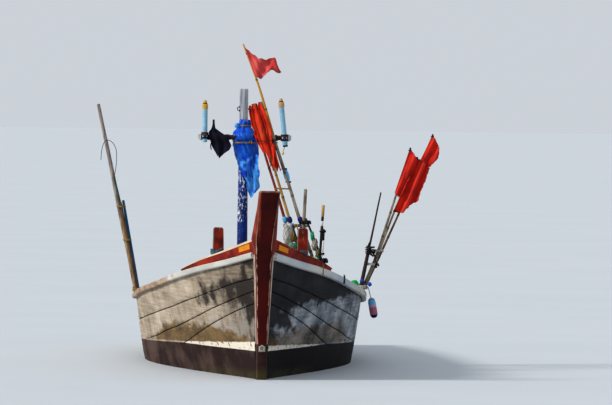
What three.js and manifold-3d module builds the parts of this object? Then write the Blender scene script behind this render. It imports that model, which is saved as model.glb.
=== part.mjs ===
// Longtail fishing boat: a planked open boat with its poles, flags and an engine with a long tail.
// Millimetres. The bow points to -Y, port is +X, Z is up, and the origin is on the waterline at midships.
import * as THREE from 'three';
import { mergeVertices } from 'three/addons/utils/BufferGeometryUtils.js';
import Module from 'manifold-3d';

const wasm = await Module();
wasm.setup();

// Driving dimensions
const SEAT = 0.4; // gap left between pieces that touch
const STEM_HEAD_Y = -3900;
const STEM_HEAD_Z = 1465;
const STEM_RAKE = 0.314; // run aft for each unit of fall
const STEM_DEPTH = 140;
const STEM_SEAT = 1.5; // planks start this far behind the stem
const STERN_Y = 3700;
const PLANK = 25;
const SEAM_GAP = 0.6;
const KEEL_HALF = 35;
const KEEL_DEPTH = 80;
const KEEL_TIMBER_HALF = 52;
const RIB_DEPTH = 45;
const RIB_WIDTH = 40;
const FLARE_POWER = 0.85;
const STATIONS = 26;
const WIDE = 1300; // wider than the boat, for slabs that are trimmed to the hull

const RAIL_HEIGHT = 65;
const RAIL_OUT = 32;
const CAP_THICK = 14;
const CAP_INBOARD = 55;
const RAIL_FROM_MIDDLE = 6;
const WASHBOARD_HEIGHT = 95;
const WASHBOARD_END = 0.2; // share of the hull's length

const FLOOR_Z = -170;
const FLOOR_THICK = 25;
const FOREDECK_END_Y = -1572;
const FOREDECK_Z = 930; // top at the stem end
const FOREDECK_SLOPE = -0.135;
const DECK_THICK = 28;
const AFT_DECK_Y = 2900;
const AFT_DECK_Z = 360;
const TRANSOM_Y = 3610;
const TRANSOM_THICK = 45;
const TRANSOM_Z = 440;
const TRANSOM_NOTCH_HALF = 360;

const MAST = { x: -108, y: -1400, foot: 45, head: 35, top: 2291 };
const ARM = { z: 1892, radius: 19, from: -473, to: 271 };
const PIVOT = { y: 3600, z: 560 };
const TAIL_LENGTH = 2150;

const FINISH = {
  stem: { color: 0x6a3a34, roughness: 0.8, metalness: 0 },
  weathered: { color: 0x8d877d, roughness: 0.9, metalness: 0 },
  boot: { color: 0x4a2a26, roughness: 0.8, metalness: 0 },
  rail: { color: 0xb9b4a6, roughness: 0.8, metalness: 0 },
  washboard: { color: 0x7a3a33, roughness: 0.8, metalness: 0 },
  deck: { color: 0x7d7466, roughness: 0.9, metalness: 0 },
  mast: { color: 0x3f66a0, roughness: 0.7, metalness: 0 },
  bamboo: { color: 0x9a8353, roughness: 0.7, metalness: 0 },
  lamp: { color: 0x8fb9d6, roughness: 0.4, metalness: 0 },
  flag: { color: 0xb5262c, roughness: 0.9, metalness: 0 },
  cloth: { color: 0x25325e, roughness: 0.9, metalness: 0 },
  wrap: { color: 0x86aee0, roughness: 0.3, metalness: 0 },
  netting: { color: 0xd8dad6, roughness: 0.8, metalness: 0 },
  float: { color: 0x6fa7cf, roughness: 0.5, metalness: 0 },
  steel: { color: 0x6d6f70, roughness: 0.5, metalness: 0.8 },
  engine: { color: 0x4b4d50, roughness: 0.5, metalness: 0.5 },
  tank: { color: 0xa82a22, roughness: 0.35, metalness: 0.2 },
  bronze: { color: 0x8c6a35, roughness: 0.4, metalness: 0.9 },
};

const boat = new THREE.Group();
const v = (x, y, z) => new THREE.Vector3(x, y, z);

function add(name, geometry, finish) {
  const mesh = new THREE.Mesh(geometry, new THREE.MeshStandardMaterial(FINISH[finish]));
  mesh.name = name;
  boat.add(mesh);
  return mesh;
}

// Shape tools

function signedVolume(points, faces) {
  let sum = 0;
  for (const [a, b, c] of faces) {
    sum += points[a].dot(v(0, 0, 0).crossVectors(points[b], points[c]));
  }
  return sum / 6;
}

function capFaces(ring) {
  const normal = v(0, 0, 0);
  ring.forEach((p, k) => normal.add(v(0, 0, 0).crossVectors(p, ring[(k + 1) % ring.length])));
  normal.normalize();
  const side = Math.abs(normal.z) < 0.9 ? v(0, 0, 1) : v(1, 0, 0);
  const across = v(0, 0, 0).crossVectors(side, normal).normalize();
  const up = v(0, 0, 0).crossVectors(normal, across);
  const flat = ring.map((p) => new THREE.Vector2(p.dot(across), p.dot(up)));
  return THREE.ShapeUtils.triangulateShape(flat, []);
}

// A closed body through rings of as many points each, with a flat face on the first and the last.
// Each four-sided patch is split from its lower corner, so that neighbouring pieces fit.
function loft(rings) {
  const count = rings[0].length;
  const points = rings.flat();
  const faces = [];
  for (let i = 0; i + 1 < rings.length; i += 1) {
    for (let k = 0; k < count; k += 1) {
      const next = (k + 1) % count;
      const [a, b] = [i * count + k, i * count + next];
      const [d, c] = [a + count, b + count];
      if (points[a].z <= points[b].z) {
        faces.push([a, b, c], [a, c, d]);
      } else {
        faces.push([a, b, d], [b, c, d]);
      }
    }
  }
  const last = points.length - count;
  capFaces(rings[0]).forEach(([a, b, c]) => faces.push([a, c, b]));
  capFaces(rings[rings.length - 1]).forEach(([a, b, c]) => faces.push([last + a, last + b, last + c]));
  const outward = signedVolume(points, faces) > 0;
  const geometry = new THREE.BufferGeometry();
  geometry.setAttribute('position', new THREE.Float32BufferAttribute(points.flatMap((p) => [p.x, p.y, p.z]), 3));
  geometry.setIndex(faces.flatMap(([a, b, c]) => (outward ? [a, b, c] : [a, c, b])));
  return geometry;
}

function toSolid(source) {
  const plain = source.clone();
  plain.deleteAttribute('normal');
  plain.deleteAttribute('uv');
  const merged = mergeVertices(plain, 1e-4);
  const vertProperties = new Float32Array(merged.attributes.position.array);
  const triVerts = new Uint32Array(merged.index.array);
  return new wasm.Manifold(new wasm.Mesh({ numProp: 3, vertProperties, triVerts }));
}

function toGeometry(solid) {
  const mesh = solid.getMesh();
  const geometry = new THREE.BufferGeometry();
  geometry.setAttribute('position', new THREE.BufferAttribute(new Float32Array(mesh.vertProperties), 3));
  geometry.setIndex(new THREE.BufferAttribute(new Uint32Array(mesh.triVerts), 1));
  return geometry;
}

const joined = (pieces) => pieces.map(toSolid).reduce((sum, piece) => sum.add(piece));
const join = (...pieces) => toGeometry(joined(pieces));
const cut = (piece, ...tools) => toGeometry(toSolid(piece).subtract(joined(tools)));
const trim = (piece, tool) => toGeometry(toSolid(piece).intersect(toSolid(tool)));

function box(low, high) {
  const size = high.map((value, axis) => value - low[axis]);
  const geometry = new THREE.BoxGeometry(...size);
  return geometry.translate(...low.map((value, axis) => value + size[axis] / 2));
}

// A round pole through places, with a radius at each.
function pole(places, radii, sides = 8) {
  const rings = places.map((place, i) => {
    const ahead = places[Math.min(i + 1, places.length - 1)];
    const behind = places[Math.max(i - 1, 0)];
    const along = v(0, 0, 0).subVectors(ahead, behind).normalize();
    const reference = Math.abs(along.y) < 0.9 ? v(0, 1, 0) : v(1, 0, 0);
    const across = v(0, 0, 0).crossVectors(reference, along).normalize();
    const up = v(0, 0, 0).crossVectors(along, across);
    return Array.from({ length: sides }, (_, k) => {
      const turn = ((k + 0.5) / sides) * 2 * Math.PI;
      const radius = radii[i] / Math.cos(Math.PI / sides);
      return place.clone().addScaledVector(across, radius * Math.cos(turn)).addScaledVector(up, radius * Math.sin(turn));
    });
  });
  return loft(rings);
}

// A flat piece of cloth: its outline in x and z, its mid plane at y, waved by depth.
function clothPiece(outline, y, thick, wave = 0) {
  const place = ([x, z], side) => v(x, y + side * thick / 2 + wave * Math.sin((x + z) / 55), z);
  return loft([outline.map((p) => place(p, -1)), outline.map((p) => place(p, 1))]);
}

// Hull surface

// Columns: share of the length, half breadth and height at the sheer, half breadth on the waterline,
// height of the keel edge, height of the low seam, height of the high seam.
const SECTION_TABLE = [
  [0.00, 72, 990, 42, -250, 550, 775],
  [0.06, 271, 919, 158, -330, 490, 722],
  [0.13, 474, 853, 310, -370, 415, 658],
  [0.21, 644, 779, 475, -390, 285, 587],
  [0.30, 791, 696, 635, -400, 175, 517],
  [0.40, 899, 628, 780, -400, 95, 425],
  [0.50, 948, 566, 862, -400, 45, 318],
  [0.60, 951, 532, 868, -400, 20, 280],
  [0.70, 921, 523, 835, -385, 10, 270],
  [0.80, 841, 528, 765, -350, 30, 280],
  [0.90, 720, 543, 650, -290, 60, 305],
  [1.00, 560, 565, 500, -210, 90, 335],
].map(([share, sheerHalf, sheerZ, waterHalf, keelZ, lowSeamZ, highSeamZ]) => (
  { share, sheerHalf, sheerZ, waterHalf, keelZ, lowSeamZ, highSeamZ }));

// A column of the table at any share, by a smooth curve through its rows.
function read(column, share) {
  const rows = SECTION_TABLE;
  const i = Math.min(Math.max(rows.findIndex((row) => row.share >= share), 1), rows.length - 1);
  const [low, high] = [rows[i - 1], rows[i]];
  const span = high.share - low.share;
  const t = (share - low.share) / span;
  const slope = (k) => {
    const [before, after] = [rows[Math.max(k - 1, 0)], rows[Math.min(k + 1, rows.length - 1)]];
    return (after[column] - before[column]) / (after.share - before.share);
  };
  const [p0, p1, m0, m1] = [low[column], high[column], slope(i - 1) * span, slope(i) * span];
  const [t2, t3] = [t * t, t * t * t];
  return (2 * t3 - 3 * t2 + 1) * p0 + (t3 - 2 * t2 + t) * m0 + (3 * t2 - 2 * t3) * p1 + (t3 - t2) * m1;
}

// Columns: height, aft face. Below the waterline the stem curves aft into the keel.
const STEM_BACK = [
  [0, STEM_HEAD_Y + STEM_HEAD_Z * STEM_RAKE + STEM_DEPTH],
  [-70, -3272],
  [-175, -3215],
  [-250, -3150],
];

function stemBackY(z) {
  if (z >= 0) {
    return STEM_HEAD_Y + (STEM_HEAD_Z - z) * STEM_RAKE + STEM_DEPTH;
  }
  const i = STEM_BACK.findIndex(([height]) => height <= z);
  const k = i < 0 ? STEM_BACK.length - 1 : Math.max(i, 1);
  const [[z0, y0], [z1, y1]] = [STEM_BACK[k - 1], STEM_BACK[k]];
  return y0 + ((z - z0) / (z1 - z0)) * (y1 - y0);
}

const lineY = (share, z) => (stemBackY(z) + STEM_SEAT) * (1 - share) + STERN_Y * share;

function halfBreadth(share, z) {
  const water = read('waterHalf', share);
  if (z >= 0) {
    return water + (read('sheerHalf', share) - water) * (z / read('sheerZ', share)) ** FLARE_POWER;
  }
  const deep = Math.min(z / read('keelZ', share), 1);
  return KEEL_HALF + (water - KEEL_HALF) * (1 - deep * deep) ** 0.7;
}

// The lines that run along the hull, from the keel up to the sheer.
const LINES = {
  keel: (s) => read('keelZ', s),
  garboard: (s) => read('keelZ', s) * 0.7,
  bilge: (s) => read('keelZ', s) * 0.28,
  boot: (s) => (read('keelZ', s) * 0.28 + read('lowSeamZ', s)) / 2,
  lowSeam: (s) => read('lowSeamZ', s),
  highSeam: (s) => read('highSeamZ', s),
  sheer: (s) => read('sheerZ', s),
};
const LINE_NAMES = Object.keys(LINES);

function skinPoint(share, z) {
  return v(halfBreadth(share, z), lineY(share, z), z);
}

// A point of the port side, moved inboard by depth. Above the bilge it moves level.
function hullPoint(share, line, depth = 0, lift = 0) {
  const z = LINES[line](share) + lift;
  const point = skinPoint(share, z);
  if (depth === 0) {
    return point;
  }
  const ds = 0.004;
  const [s0, s1] = [Math.max(share - ds, 0), Math.min(share + ds, 1)];
  const along = v(0, 0, 0).subVectors(skinPoint(s1, z), skinPoint(s0, z));
  const topside = LINE_NAMES.indexOf(line) >= LINE_NAMES.indexOf('lowSeam');
  const [below, above] = line === 'keel' ? [z, z + 40] : [z - 20, z + 20];
  const upward = topside ? v(0, 0, 1) : v(0, 0, 0).subVectors(skinPoint(share, above), skinPoint(share, below));
  const inward = v(0, 0, 0).crossVectors(along, upward).normalize();
  inward.multiplyScalar(inward.x > 0 ? -1 : 1);
  return point.addScaledVector(inward, depth);
}

const shares = Array.from({ length: STATIONS }, (_, i) => i / (STATIONS - 1));
const mirrored = (rings) => rings.map((ring) => ring.map((p) => v(-p.x, p.y, p.z)));
const SIDES = [['port', (rings) => rings], ['starboard', mirrored]];

// The room inside the planking, set back from the skin by depth, and carried up past the sheer by rise.
function hullInside(depth, from = 0, to = 1, rise = 0) {
  const rings = shares.filter((s) => s >= from && s <= to).map((share) => {
    const port = LINE_NAMES.map((line) => hullPoint(share, line, depth));
    if (rise > 0) {
      port.push(port[port.length - 1].clone().add(v(0, 0, rise)));
    }
    return [...mirrored([port])[0].reverse(), ...port];
  });
  return loft(rings);
}

const insidePlanks = hullInside(PLANK + SEAT);
const insideRibs = hullInside(PLANK + SEAT + RIB_DEPTH, 0.2, 0.96, 300);
const insideFrames = hullInside(PLANK + SEAT * 2 + RIB_DEPTH, 0.2, 0.96);

// Planking

const STRAKES = [
  // name, lines from its lower to its upper edge, finish
  ['garboard', ['keel', 'garboard'], 'boot'],
  ['bilge_strake', ['garboard', 'bilge', 'boot', 'lowSeam'], 'boot'],
  ['side_strake', ['lowSeam', 'highSeam'], 'weathered'],
  ['sheer_strake', ['highSeam', 'sheer'], 'weathered'],
];

// Each strake is two planks, butted amidships.
const BUTT_STATION = 11;
const BUTT_GAP = 0.00005; // share of the length left open on each side of a butt
const LENGTHS = [
  ['fore', [...shares.slice(0, BUTT_STATION), shares[BUTT_STATION] - BUTT_GAP]],
  ['aft', [shares[BUTT_STATION] + BUTT_GAP, ...shares.slice(BUTT_STATION + 1)]],
];

for (const [name, lines, finish] of STRAKES) {
  for (const [end, places] of LENGTHS) {
    const rings = places.map((share) => {
      const lift = (k) => (k === 0 ? SEAM_GAP / 2 : k === lines.length - 1 ? -SEAM_GAP / 2 : 0);
      const outer = lines.map((line, k) => hullPoint(share, line, 0, lift(k)));
      const inner = lines.map((line, k) => hullPoint(share, line, PLANK, lift(k)));
      return [...outer, ...inner.reverse()];
    });
    SIDES.forEach(([side, turn]) => add(`${name}_${end}_${side}`, loft(turn(rings)), finish));
  }
}

// Stem post, from its head down to the heel on the keel

// Columns: height, width of the front face, width of the aft face, how far the old post leans to port.
const STEM_TABLE = [
  [STEM_HEAD_Z + 20, 154, 158, 28],
  [1350, 149, 166, 18],
  [1110, 134, 196],
  [990, 128, 162],
  [780, 106, 140],
  [250, 80, 92],
  [0, 76, 84],
  [-70, 74, 80],
  [-175, 72, 76],
  [-250, 70, 72],
  [-250 - KEEL_DEPTH, 66, 70],
].map(([z, front, back, aside = 0]) => ({ z, front, back, aside }));
const STEM_KEEL_DEPTH = 75;

const stemRings = STEM_TABLE.map(({ z, front, back, aside }) => {
  const aft = stemBackY(Math.max(z, -250));
  const fore = z < -250 ? aft - STEM_KEEL_DEPTH : aft - STEM_DEPTH;
  const middle = (fore + aft) / 2;
  return [
    v(front / 2, fore, z), v(Math.max(front, back) / 2, middle, z), v(back / 2, aft, z),
    v(-back / 2, aft, z), v(-Math.max(front, back) / 2, middle, z), v(-front / 2, fore, z),
  ].map((p) => p.add(v(aside, 0, 0)));
});
add('stem_post', loft(stemRings), 'stem');

// Keel with a tongue between the garboards, and a skeg that deepens towards the stern

const SKEG_START = 0.72;
const SKEG_DEPTH = 150;
const KEEL_FULL_SHARE = 0.12; // the keel timber is at its full width from here aft

const keelRings = shares.map((share) => {
  const edge = hullPoint(share, 'keel', 0, SEAM_GAP / 2);
  const inner = hullPoint(share, 'keel', PLANK, SEAM_GAP / 2);
  const tongue = Math.min(edge.x, inner.x) - SEAT;
  const shoulder = edge.z - SEAM_GAP / 2 - SEAT;
  const skeg = SKEG_DEPTH * Math.max((share - SKEG_START) / (1 - SKEG_START), 0) ** 1.2;
  const bottom = shoulder - KEEL_DEPTH - skeg;
  const y = edge.y;
  const half = KEEL_HALF + (KEEL_TIMBER_HALF - KEEL_HALF) * Math.min(share / KEEL_FULL_SHARE, 1);
  return [
    v(tongue, y, inner.z - SEAT * 2), v(tongue, y, shoulder), v(half, y, shoulder), v(half, y, bottom),
    v(-half, y, bottom), v(-half, y, shoulder), v(-tongue, y, shoulder), v(-tongue, y, inner.z - SEAT * 2),
  ];
});
add('keel', loft(keelRings), 'boot');

// Ribs and floor timbers on a keelson

const RIB_PLACES = [-1120, -770, -420, 300, 650, 1000, 1750, 2100, 2450, 2750];
const KEELSON = { half: 50, top: -290 };
const KEELSON_ENDS = [FOREDECK_END_Y + SEAT, AFT_DECK_Y - SEAT];

const ribs = RIB_PLACES.map((y) => {
  const [aftY, foreY] = [y + RIB_WIDTH / 2, y - RIB_WIDTH / 2];
  const frame = cut(box([-WIDE, foreY, -600], [WIDE, aftY, 900]), insideRibs);
  const floor = box([-WIDE, foreY, -600], [WIDE, aftY, FLOOR_Z - SEAT]);
  return join(frame, floor);
});
const keelson = box([-KEELSON.half, KEELSON_ENDS[0], -600], [KEELSON.half, KEELSON_ENDS[1], KEELSON.top]);
add('frames', trim(join(keelson, ...ribs), insidePlanks), 'deck');

// Decks, floorboards and thwarts, trimmed to the hull

const foredeckTop = (y) => FOREDECK_Z + FOREDECK_SLOPE * (y - STEM_HEAD_Y - 300);

function foredeckSlab(fromY, toY) {
  return loft([fromY, toY].map((y) => {
    const top = foredeckTop(y);
    return [v(-WIDE, y, top - DECK_THICK), v(WIDE, y, top - DECK_THICK), v(WIDE, y, top), v(-WIDE, y, top)];
  }));
}

const BULKHEAD_THICK = 26;
const foreBulkhead = box([-WIDE, FOREDECK_END_Y - BULKHEAD_THICK, -600], [WIDE, FOREDECK_END_Y, foredeckTop(FOREDECK_END_Y) - 5]);
add('foredeck', trim(join(foredeckSlab(STEM_HEAD_Y, FOREDECK_END_Y), foreBulkhead), insidePlanks), 'deck');

const aftDeck = box([-WIDE, AFT_DECK_Y, AFT_DECK_Z - DECK_THICK], [WIDE, TRANSOM_Y - SEAT, AFT_DECK_Z]);
const aftBulkhead = box([-WIDE, AFT_DECK_Y, -600], [WIDE, AFT_DECK_Y + BULKHEAD_THICK, AFT_DECK_Z - 5]);
add('aft_deck', trim(join(aftDeck, aftBulkhead), insidePlanks), 'deck');

const floor = box([-WIDE, KEELSON_ENDS[0], FLOOR_Z], [WIDE, KEELSON_ENDS[1], FLOOR_Z + FLOOR_THICK]);
add('floorboards', trim(floor, insideFrames), 'deck');

const THWARTS = [
  // name, middle, top, half width
  ['mast_thwart', MAST.y, 600, 110],
  ['midship_thwart', -50, 470, 120],
  ['aft_thwart', 1380, 430, 120],
];
const THWART_THICK = 34;
const mastHole = pole([v(MAST.x, MAST.y, 0), v(MAST.x, MAST.y, 900)], [MAST.foot + SEAT, MAST.foot + SEAT], 16);

for (const [name, y, top, half] of THWARTS) {
  const board = trim(box([-WIDE, y - half, top - THWART_THICK], [WIDE, y + half, top]), insidePlanks);
  add(name, name === 'mast_thwart' ? cut(board, mastHole) : board, 'deck');
}

const transomSlab = box([-WIDE, TRANSOM_Y, -600], [WIDE, TRANSOM_Y + TRANSOM_THICK, 900]);
const transomNotch = box([-TRANSOM_NOTCH_HALF, TRANSOM_Y - 10, TRANSOM_Z], [TRANSOM_NOTCH_HALF, TRANSOM_Y + 90, 950]);
add('transom', cut(trim(transomSlab, insidePlanks), transomNotch), 'stem');

// Rub rails with their cap boards, and the washboards at the bow

// A point near the sheer, moved out and up from it, and kept behind the stem and off the middle.
function nearSheer(share, out, lift) {
  const base = hullPoint(share, 'sheer', -out);
  const z = base.z + lift;
  const y = base.y + lineY(share, z) - lineY(share, base.z);
  return v(Math.max(base.x, RAIL_FROM_MIDDLE), Math.max(y, stemBackY(z) + SEAT), z);
}

const railRings = shares.map((share) => {
  const places = [
    [SEAT + 1, -RAIL_HEIGHT], [RAIL_OUT - 4, -RAIL_HEIGHT + 6], [RAIL_OUT, -4], [RAIL_OUT - 6, CAP_THICK],
    [-PLANK - CAP_INBOARD, CAP_THICK], [-PLANK - CAP_INBOARD, SEAT], [SEAT + 1, SEAT],
  ];
  return places.map(([out, lift]) => nearSheer(share, out, lift));
});
SIDES.forEach(([side, turn]) => add(`rub_rail_${side}`, loft(turn(railRings)), 'rail'));

const washboardRings = shares.filter((share) => share <= WASHBOARD_END + 0.001).map((share) => {
  const height = 14 + (WASHBOARD_HEIGHT - 14) * (1 - share / WASHBOARD_END) ** 0.9;
  const base = CAP_THICK - 1;
  const places = [[12, base], [22, base + height], [0, base + height], [-12, base]];
  return places.map(([out, lift]) => nearSheer(share, out, lift));
});
// The rails with their seat, as tools for what stands on them.
const onRail = Object.fromEntries(SIDES.map(([side, turn]) => {
  const above = loft(turn(railRings)).translate(0, 0, SEAT);
  const outboard = side === 'port' ? SEAT : -SEAT;
  return [side, [above, above.clone().translate(0, -SEAT, 0), above.clone().translate(outboard, 0, 0)]];
}));
SIDES.forEach(([side, turn]) => {
  add(`washboard_${side}`, cut(loft(turn(washboardRings)), ...onRail[side]), 'washboard');
});

// Mooring bitts on the foredeck

const BITT = { x: 337, y: -2550, half: 41, headHalf: 36, top: 1165 };

SIDES.forEach(([side], index) => {
  const x = BITT.x * (index === 0 ? 1 : -1);
  const ring = (half, height) => [[-1, -1], [1, -1], [1, 1], [-1, 1]].map(([a, b]) => {
    const y = BITT.y + b * half;
    return v(x + a * half, y, height === null ? foredeckTop(y) + SEAT : height);
  });
  add(`bitt_${side}`, loft([ring(BITT.half, null), ring(BITT.half, 1040), ring(BITT.headHalf, BITT.top - 12),
    ring(BITT.headHalf - 12, BITT.top)]), 'stem');
});

// Mast, cross arm and the lamps at its ends

const MAST_WAIST = { z: 700, radius: MAST.foot - 1 };
const mastRadius = (z) => MAST_WAIST.radius
  + ((MAST.head - MAST_WAIST.radius) * (z - MAST_WAIST.z)) / (MAST.top - MAST_WAIST.z);
const MAST_FOOT_Z = FLOOR_Z + FLOOR_THICK + SEAT;
const mastAt = (z) => v(MAST.x, MAST.y, z);
add('mast', pole([mastAt(MAST_FOOT_Z), mastAt(MAST_WAIST.z), mastAt(MAST.top)],
  [MAST.foot, MAST_WAIST.radius, MAST.head], 16), 'mast');

const ARM_SIDES = 10;
const ARM_REACH = ARM.radius / Math.cos(Math.PI / ARM_SIDES);
const ARM_Y = MAST.y - mastRadius(ARM.z - ARM.radius) - ARM_REACH - SEAT;
const armAt = (x) => v(x, ARM_Y, ARM.z);
add('cross_arm', pole([armAt(ARM.from), armAt(ARM.to)], [ARM.radius, ARM.radius], ARM_SIDES), 'bamboo');

const LAMP_RADIUS = 21;
const LAMPS = [
  // side, foot x, foot z, head x, head z
  ['starboard', -426, 1850, -426, 2123],
  ['port', 233, 1821, 198, 2145],
];
const LAMP_Y = ARM_Y - ARM_REACH - LAMP_RADIUS - SEAT;

for (const [side, footX, footZ, headX, headZ] of LAMPS) {
  const foot = v(footX, LAMP_Y, footZ);
  const head = v(headX, LAMP_Y, headZ);
  const at = (past) => head.clone().addScaledVector(v(0, 0, 0).subVectors(head, foot).normalize(), past);
  add(`lamp_${side}`, pole([foot, at(-2), at(0), at(36), at(44), at(70)],
    [LAMP_RADIUS, LAMP_RADIUS, LAMP_RADIUS + 3, LAMP_RADIUS + 3, LAMP_RADIUS - 6, LAMP_RADIUS - 9], 12), 'lamp');
}

// Marker poles that stand on the foredeck by the mast, with their flags

const POLE_Y = -1640;
const deckFoot = (x, y) => v(x, y, foredeckTop(y) - 10);
const onForedeck = foredeckSlab(-3200, FOREDECK_END_Y - 1).translate(0, 0, SEAT);
const TOP_POLE = [deckFoot(505, POLE_Y), v(349, POLE_Y, 1234), v(91, POLE_Y, 2041), v(-7, POLE_Y, 2350), v(-126, POLE_Y, 2654)];
const TOP_RADII = [14, 13, 11, 9, 7];
add('flag_pole', cut(pole(TOP_POLE, TOP_RADII), onForedeck), 'bamboo');

const TOP_FLAG = [[-114, 2630], [-3, 2540], [133, 2545], [183, 2429], [102, 2446], [23, 2372], [-28, 2400]];
const CLOTH = 8; // thickness of each plain cloth solid
const besidePole = (poleFrontY) => poleFrontY - SEAT - CLOTH / 2;
add('top_flag', clothPiece(TOP_FLAG, besidePole(POLE_Y - TOP_RADII[3]), CLOTH), 'flag');

const FURLED_POLES = [
  // foot x, waist x at the floats, head x, head height, set back
  [392, 228, -66, 2154, 60],
  [430, 265, -31, 2172, 90],
  [545, 352, 24, 2186, 60],
].map(([footX, waistX, headX, headZ, back]) => ({ footX, waistX, headX, headZ, y: POLE_Y - back }));
const WAIST_Z = 1234;

const furledLine = ({ footX, waistX, headX, headZ, y }) => [deckFoot(footX, y), v(waistX, y, WAIST_Z), v(headX, y, headZ)];
const furledPoles = FURLED_POLES.map((row) => pole(furledLine(row), [13, 12, 8]));
const floatBodies = (grow) => FURLED_POLES.map(({ waistX, y }) => pole(
  [v(waistX + 30, y, WAIST_Z - 80 - grow), v(waistX + 18, y, WAIST_Z - 50), v(waistX - 4, y, WAIST_Z + 12),
    v(waistX - 14, y, WAIST_Z + 40 + grow)],
  [16 + grow, 30 + grow, 30 + grow, 16 + grow], 10));
const poleTie = (grow) => box([212 - grow, POLE_Y - 104 - grow, WAIST_Z - 60 - grow],
  [394 + grow, POLE_Y - 46 + grow, WAIST_Z - 46 + grow]);
add('furled_poles', cut(join(...furledPoles, ...floatBodies(0), poleTie(0)), onForedeck), 'bamboo');

// Columns: height, middle x, half width, half depth.
const FURLED_CLOTH = [
  [2149, -43, 22, 20],
  [2030, 6, 52, 34],
  [1901, 59, 82, 42],
  [1781, 102, 92, 42],
  [1682, 142, 60, 34],
  [1637, 160, 30, 24],
].map(([z, x, wide, deep]) => ({ z, x, wide, deep }));
const furledY = POLE_Y - 74;
const furledBody = loft(FURLED_CLOTH.map(({ z, x, wide, deep }) => Array.from({ length: 12 }, (_, k) => {
  const turn = (k / 12) * 2 * Math.PI;
  return v(x + wide * Math.cos(turn), furledY + deep * Math.sin(turn), z);
})));
const furledSleeves = FURLED_POLES.map((row) => pole(furledLine(row), [13 + SEAT, 12 + SEAT, 8 + SEAT]));
add('furled_flags', cut(furledBody, ...furledSleeves, pole(TOP_POLE, [20, 18, 16, 14, 12])), 'flag');

// Netting hung on the marker poles

const NET = { x: 254, y: POLE_Y - 112, z: 1098, wide: 46, deep: 40, high: 105 };
const netBody = new THREE.SphereGeometry(1, 14, 10).rotateX(Math.PI / 2).scale(NET.wide, NET.deep, NET.high).translate(NET.x, NET.y, NET.z);
add('net_bag', cut(netBody, ...furledSleeves, ...floatBodies(SEAT), poleTie(SEAT)), 'netting');

// Sticks that stand on the foredeck

const GREY_STICK = [deckFoot(361, -1900), v(387, -1900, 1480)];
const LEANING_STICK = [deckFoot(565, -1930), v(389, -1930, 1247)];
add('grey_sticks', cut(join(pole(GREY_STICK, [14, 13]), pole(LEANING_STICK, [9, 8]),
  box([366, -1940, 1205], [410, -1890, 1225])), onForedeck), 'weathered');
add('brown_stick', cut(pole([deckFoot(494, -2000), v(529, -2000, 1356)], [13, 12]), onForedeck), 'bamboo');

// Plastic sheet wrapped round the mast, and the cloth on the arm

// Columns: height, middle x, half width, half depth.
const WRAP_TABLE = [
  [2031, -94, 62, 56],
  [1979, -92, 96, 74],
  [1889, -86, 112, 82],
  [1779, -76, 104, 78],
  [1709, -72, 90, 70],
  [1650, -86, 68, 60],
].map(([z, x, wide, deep]) => ({ z, x, wide, deep }));
const wrapBody = loft(WRAP_TABLE.map(({ z, x, wide, deep }) => Array.from({ length: 14 }, (_, k) => {
  const turn = (k / 14) * 2 * Math.PI;
  return v(x + wide * Math.cos(turn), MAST.y - 8 + deep * Math.sin(turn), z);
})));
const mastSleeve = pole([mastAt(MAST_WAIST.z), mastAt(MAST.top)], [MAST_WAIST.radius + SEAT, MAST.head + SEAT], 16);
const armSleeve = pole([armAt(ARM.from), armAt(ARM.to)], [ARM.radius + SEAT, ARM.radius + SEAT], ARM_SIDES);
add('plastic_wrap', cut(wrapBody, mastSleeve, armSleeve), 'wrap');

const NAVY_CLOTH = [[-394, 1930], [-362, 2036], [-346, 1985], [-252, 1902], [-207, 1817], [-228, 1784], [-310, 1734], [-366, 1830]];
add('navy_cloth', clothPiece(NAVY_CLOTH, ARM_Y - ARM_REACH - SEAT - 8, 16, 0), 'cloth');

// Marker poles lashed to the port rail, with their flags and a float

const PORT_FOOT = { x: 905, y: -600 };
const shareAt = (y) => (y - stemBackY(600)) / (STERN_Y - stemBackY(600));
const railTop = (y) => LINES.sheer(shareAt(y)) + CAP_THICK;
const PORT_POLES = [
  // foot offset x, foot offset y, head x, head z, foot radius, head radius
  [-5, -30, 1303, 1813, 13, 7],
  [12, 0, 1364, 1735, 12, 7],
  [12, 30, 1493, 1927, 13, 7],
  [-20, -60, 1060, 1448, 17, 6],
].map(([dx, dy, headX, headZ, thick, thin]) => ({
  line: [v(PORT_FOOT.x + dx, PORT_FOOT.y + dy, railTop(PORT_FOOT.y) - 4), v(headX, PORT_FOOT.y + dy * 1.3, headZ)],
  radii: [thick, thin],
}));
const portPlace = (row, z) => {
  const [low, high] = row.line;
  return low.clone().lerp(high, (z - low.z) / (high.z - low.z));
};
const lashing = (z, half, grow = 0) => {
  const xs = PORT_POLES.map((row) => portPlace(row, z).x);
  return box([Math.min(...xs) - 20 - grow, PORT_FOOT.y - 82 - grow, z - half - grow],
    [Math.max(...xs) + 20 + grow, PORT_FOOT.y + 46 + grow, z + half + grow]);
};
const PORT_LASHINGS = [[railTop(PORT_FOOT.y) + 14, 18], [962, 9]];
const portGroup = join(...PORT_POLES.map((row) => pole(row.line, row.radii)),
  ...PORT_LASHINGS.map(([z, half]) => lashing(z, half)));
add('port_poles', cut(portGroup, ...onRail.port), 'bamboo');

const PORT_FLAGS = [
  // pole index, heights of the hoist's ends, widths of the flag there, drop of the fly
  [0, 1800, 1475, 40, 150, 60],
  [1, 1726, 1294, 110, 90, 90],
  [2, 1918, 1637, 55, 110, 120],
].map(([index, top, foot, topWide, footWide, drop]) => ({ index, top, foot, topWide, footWide, drop }));

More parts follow.
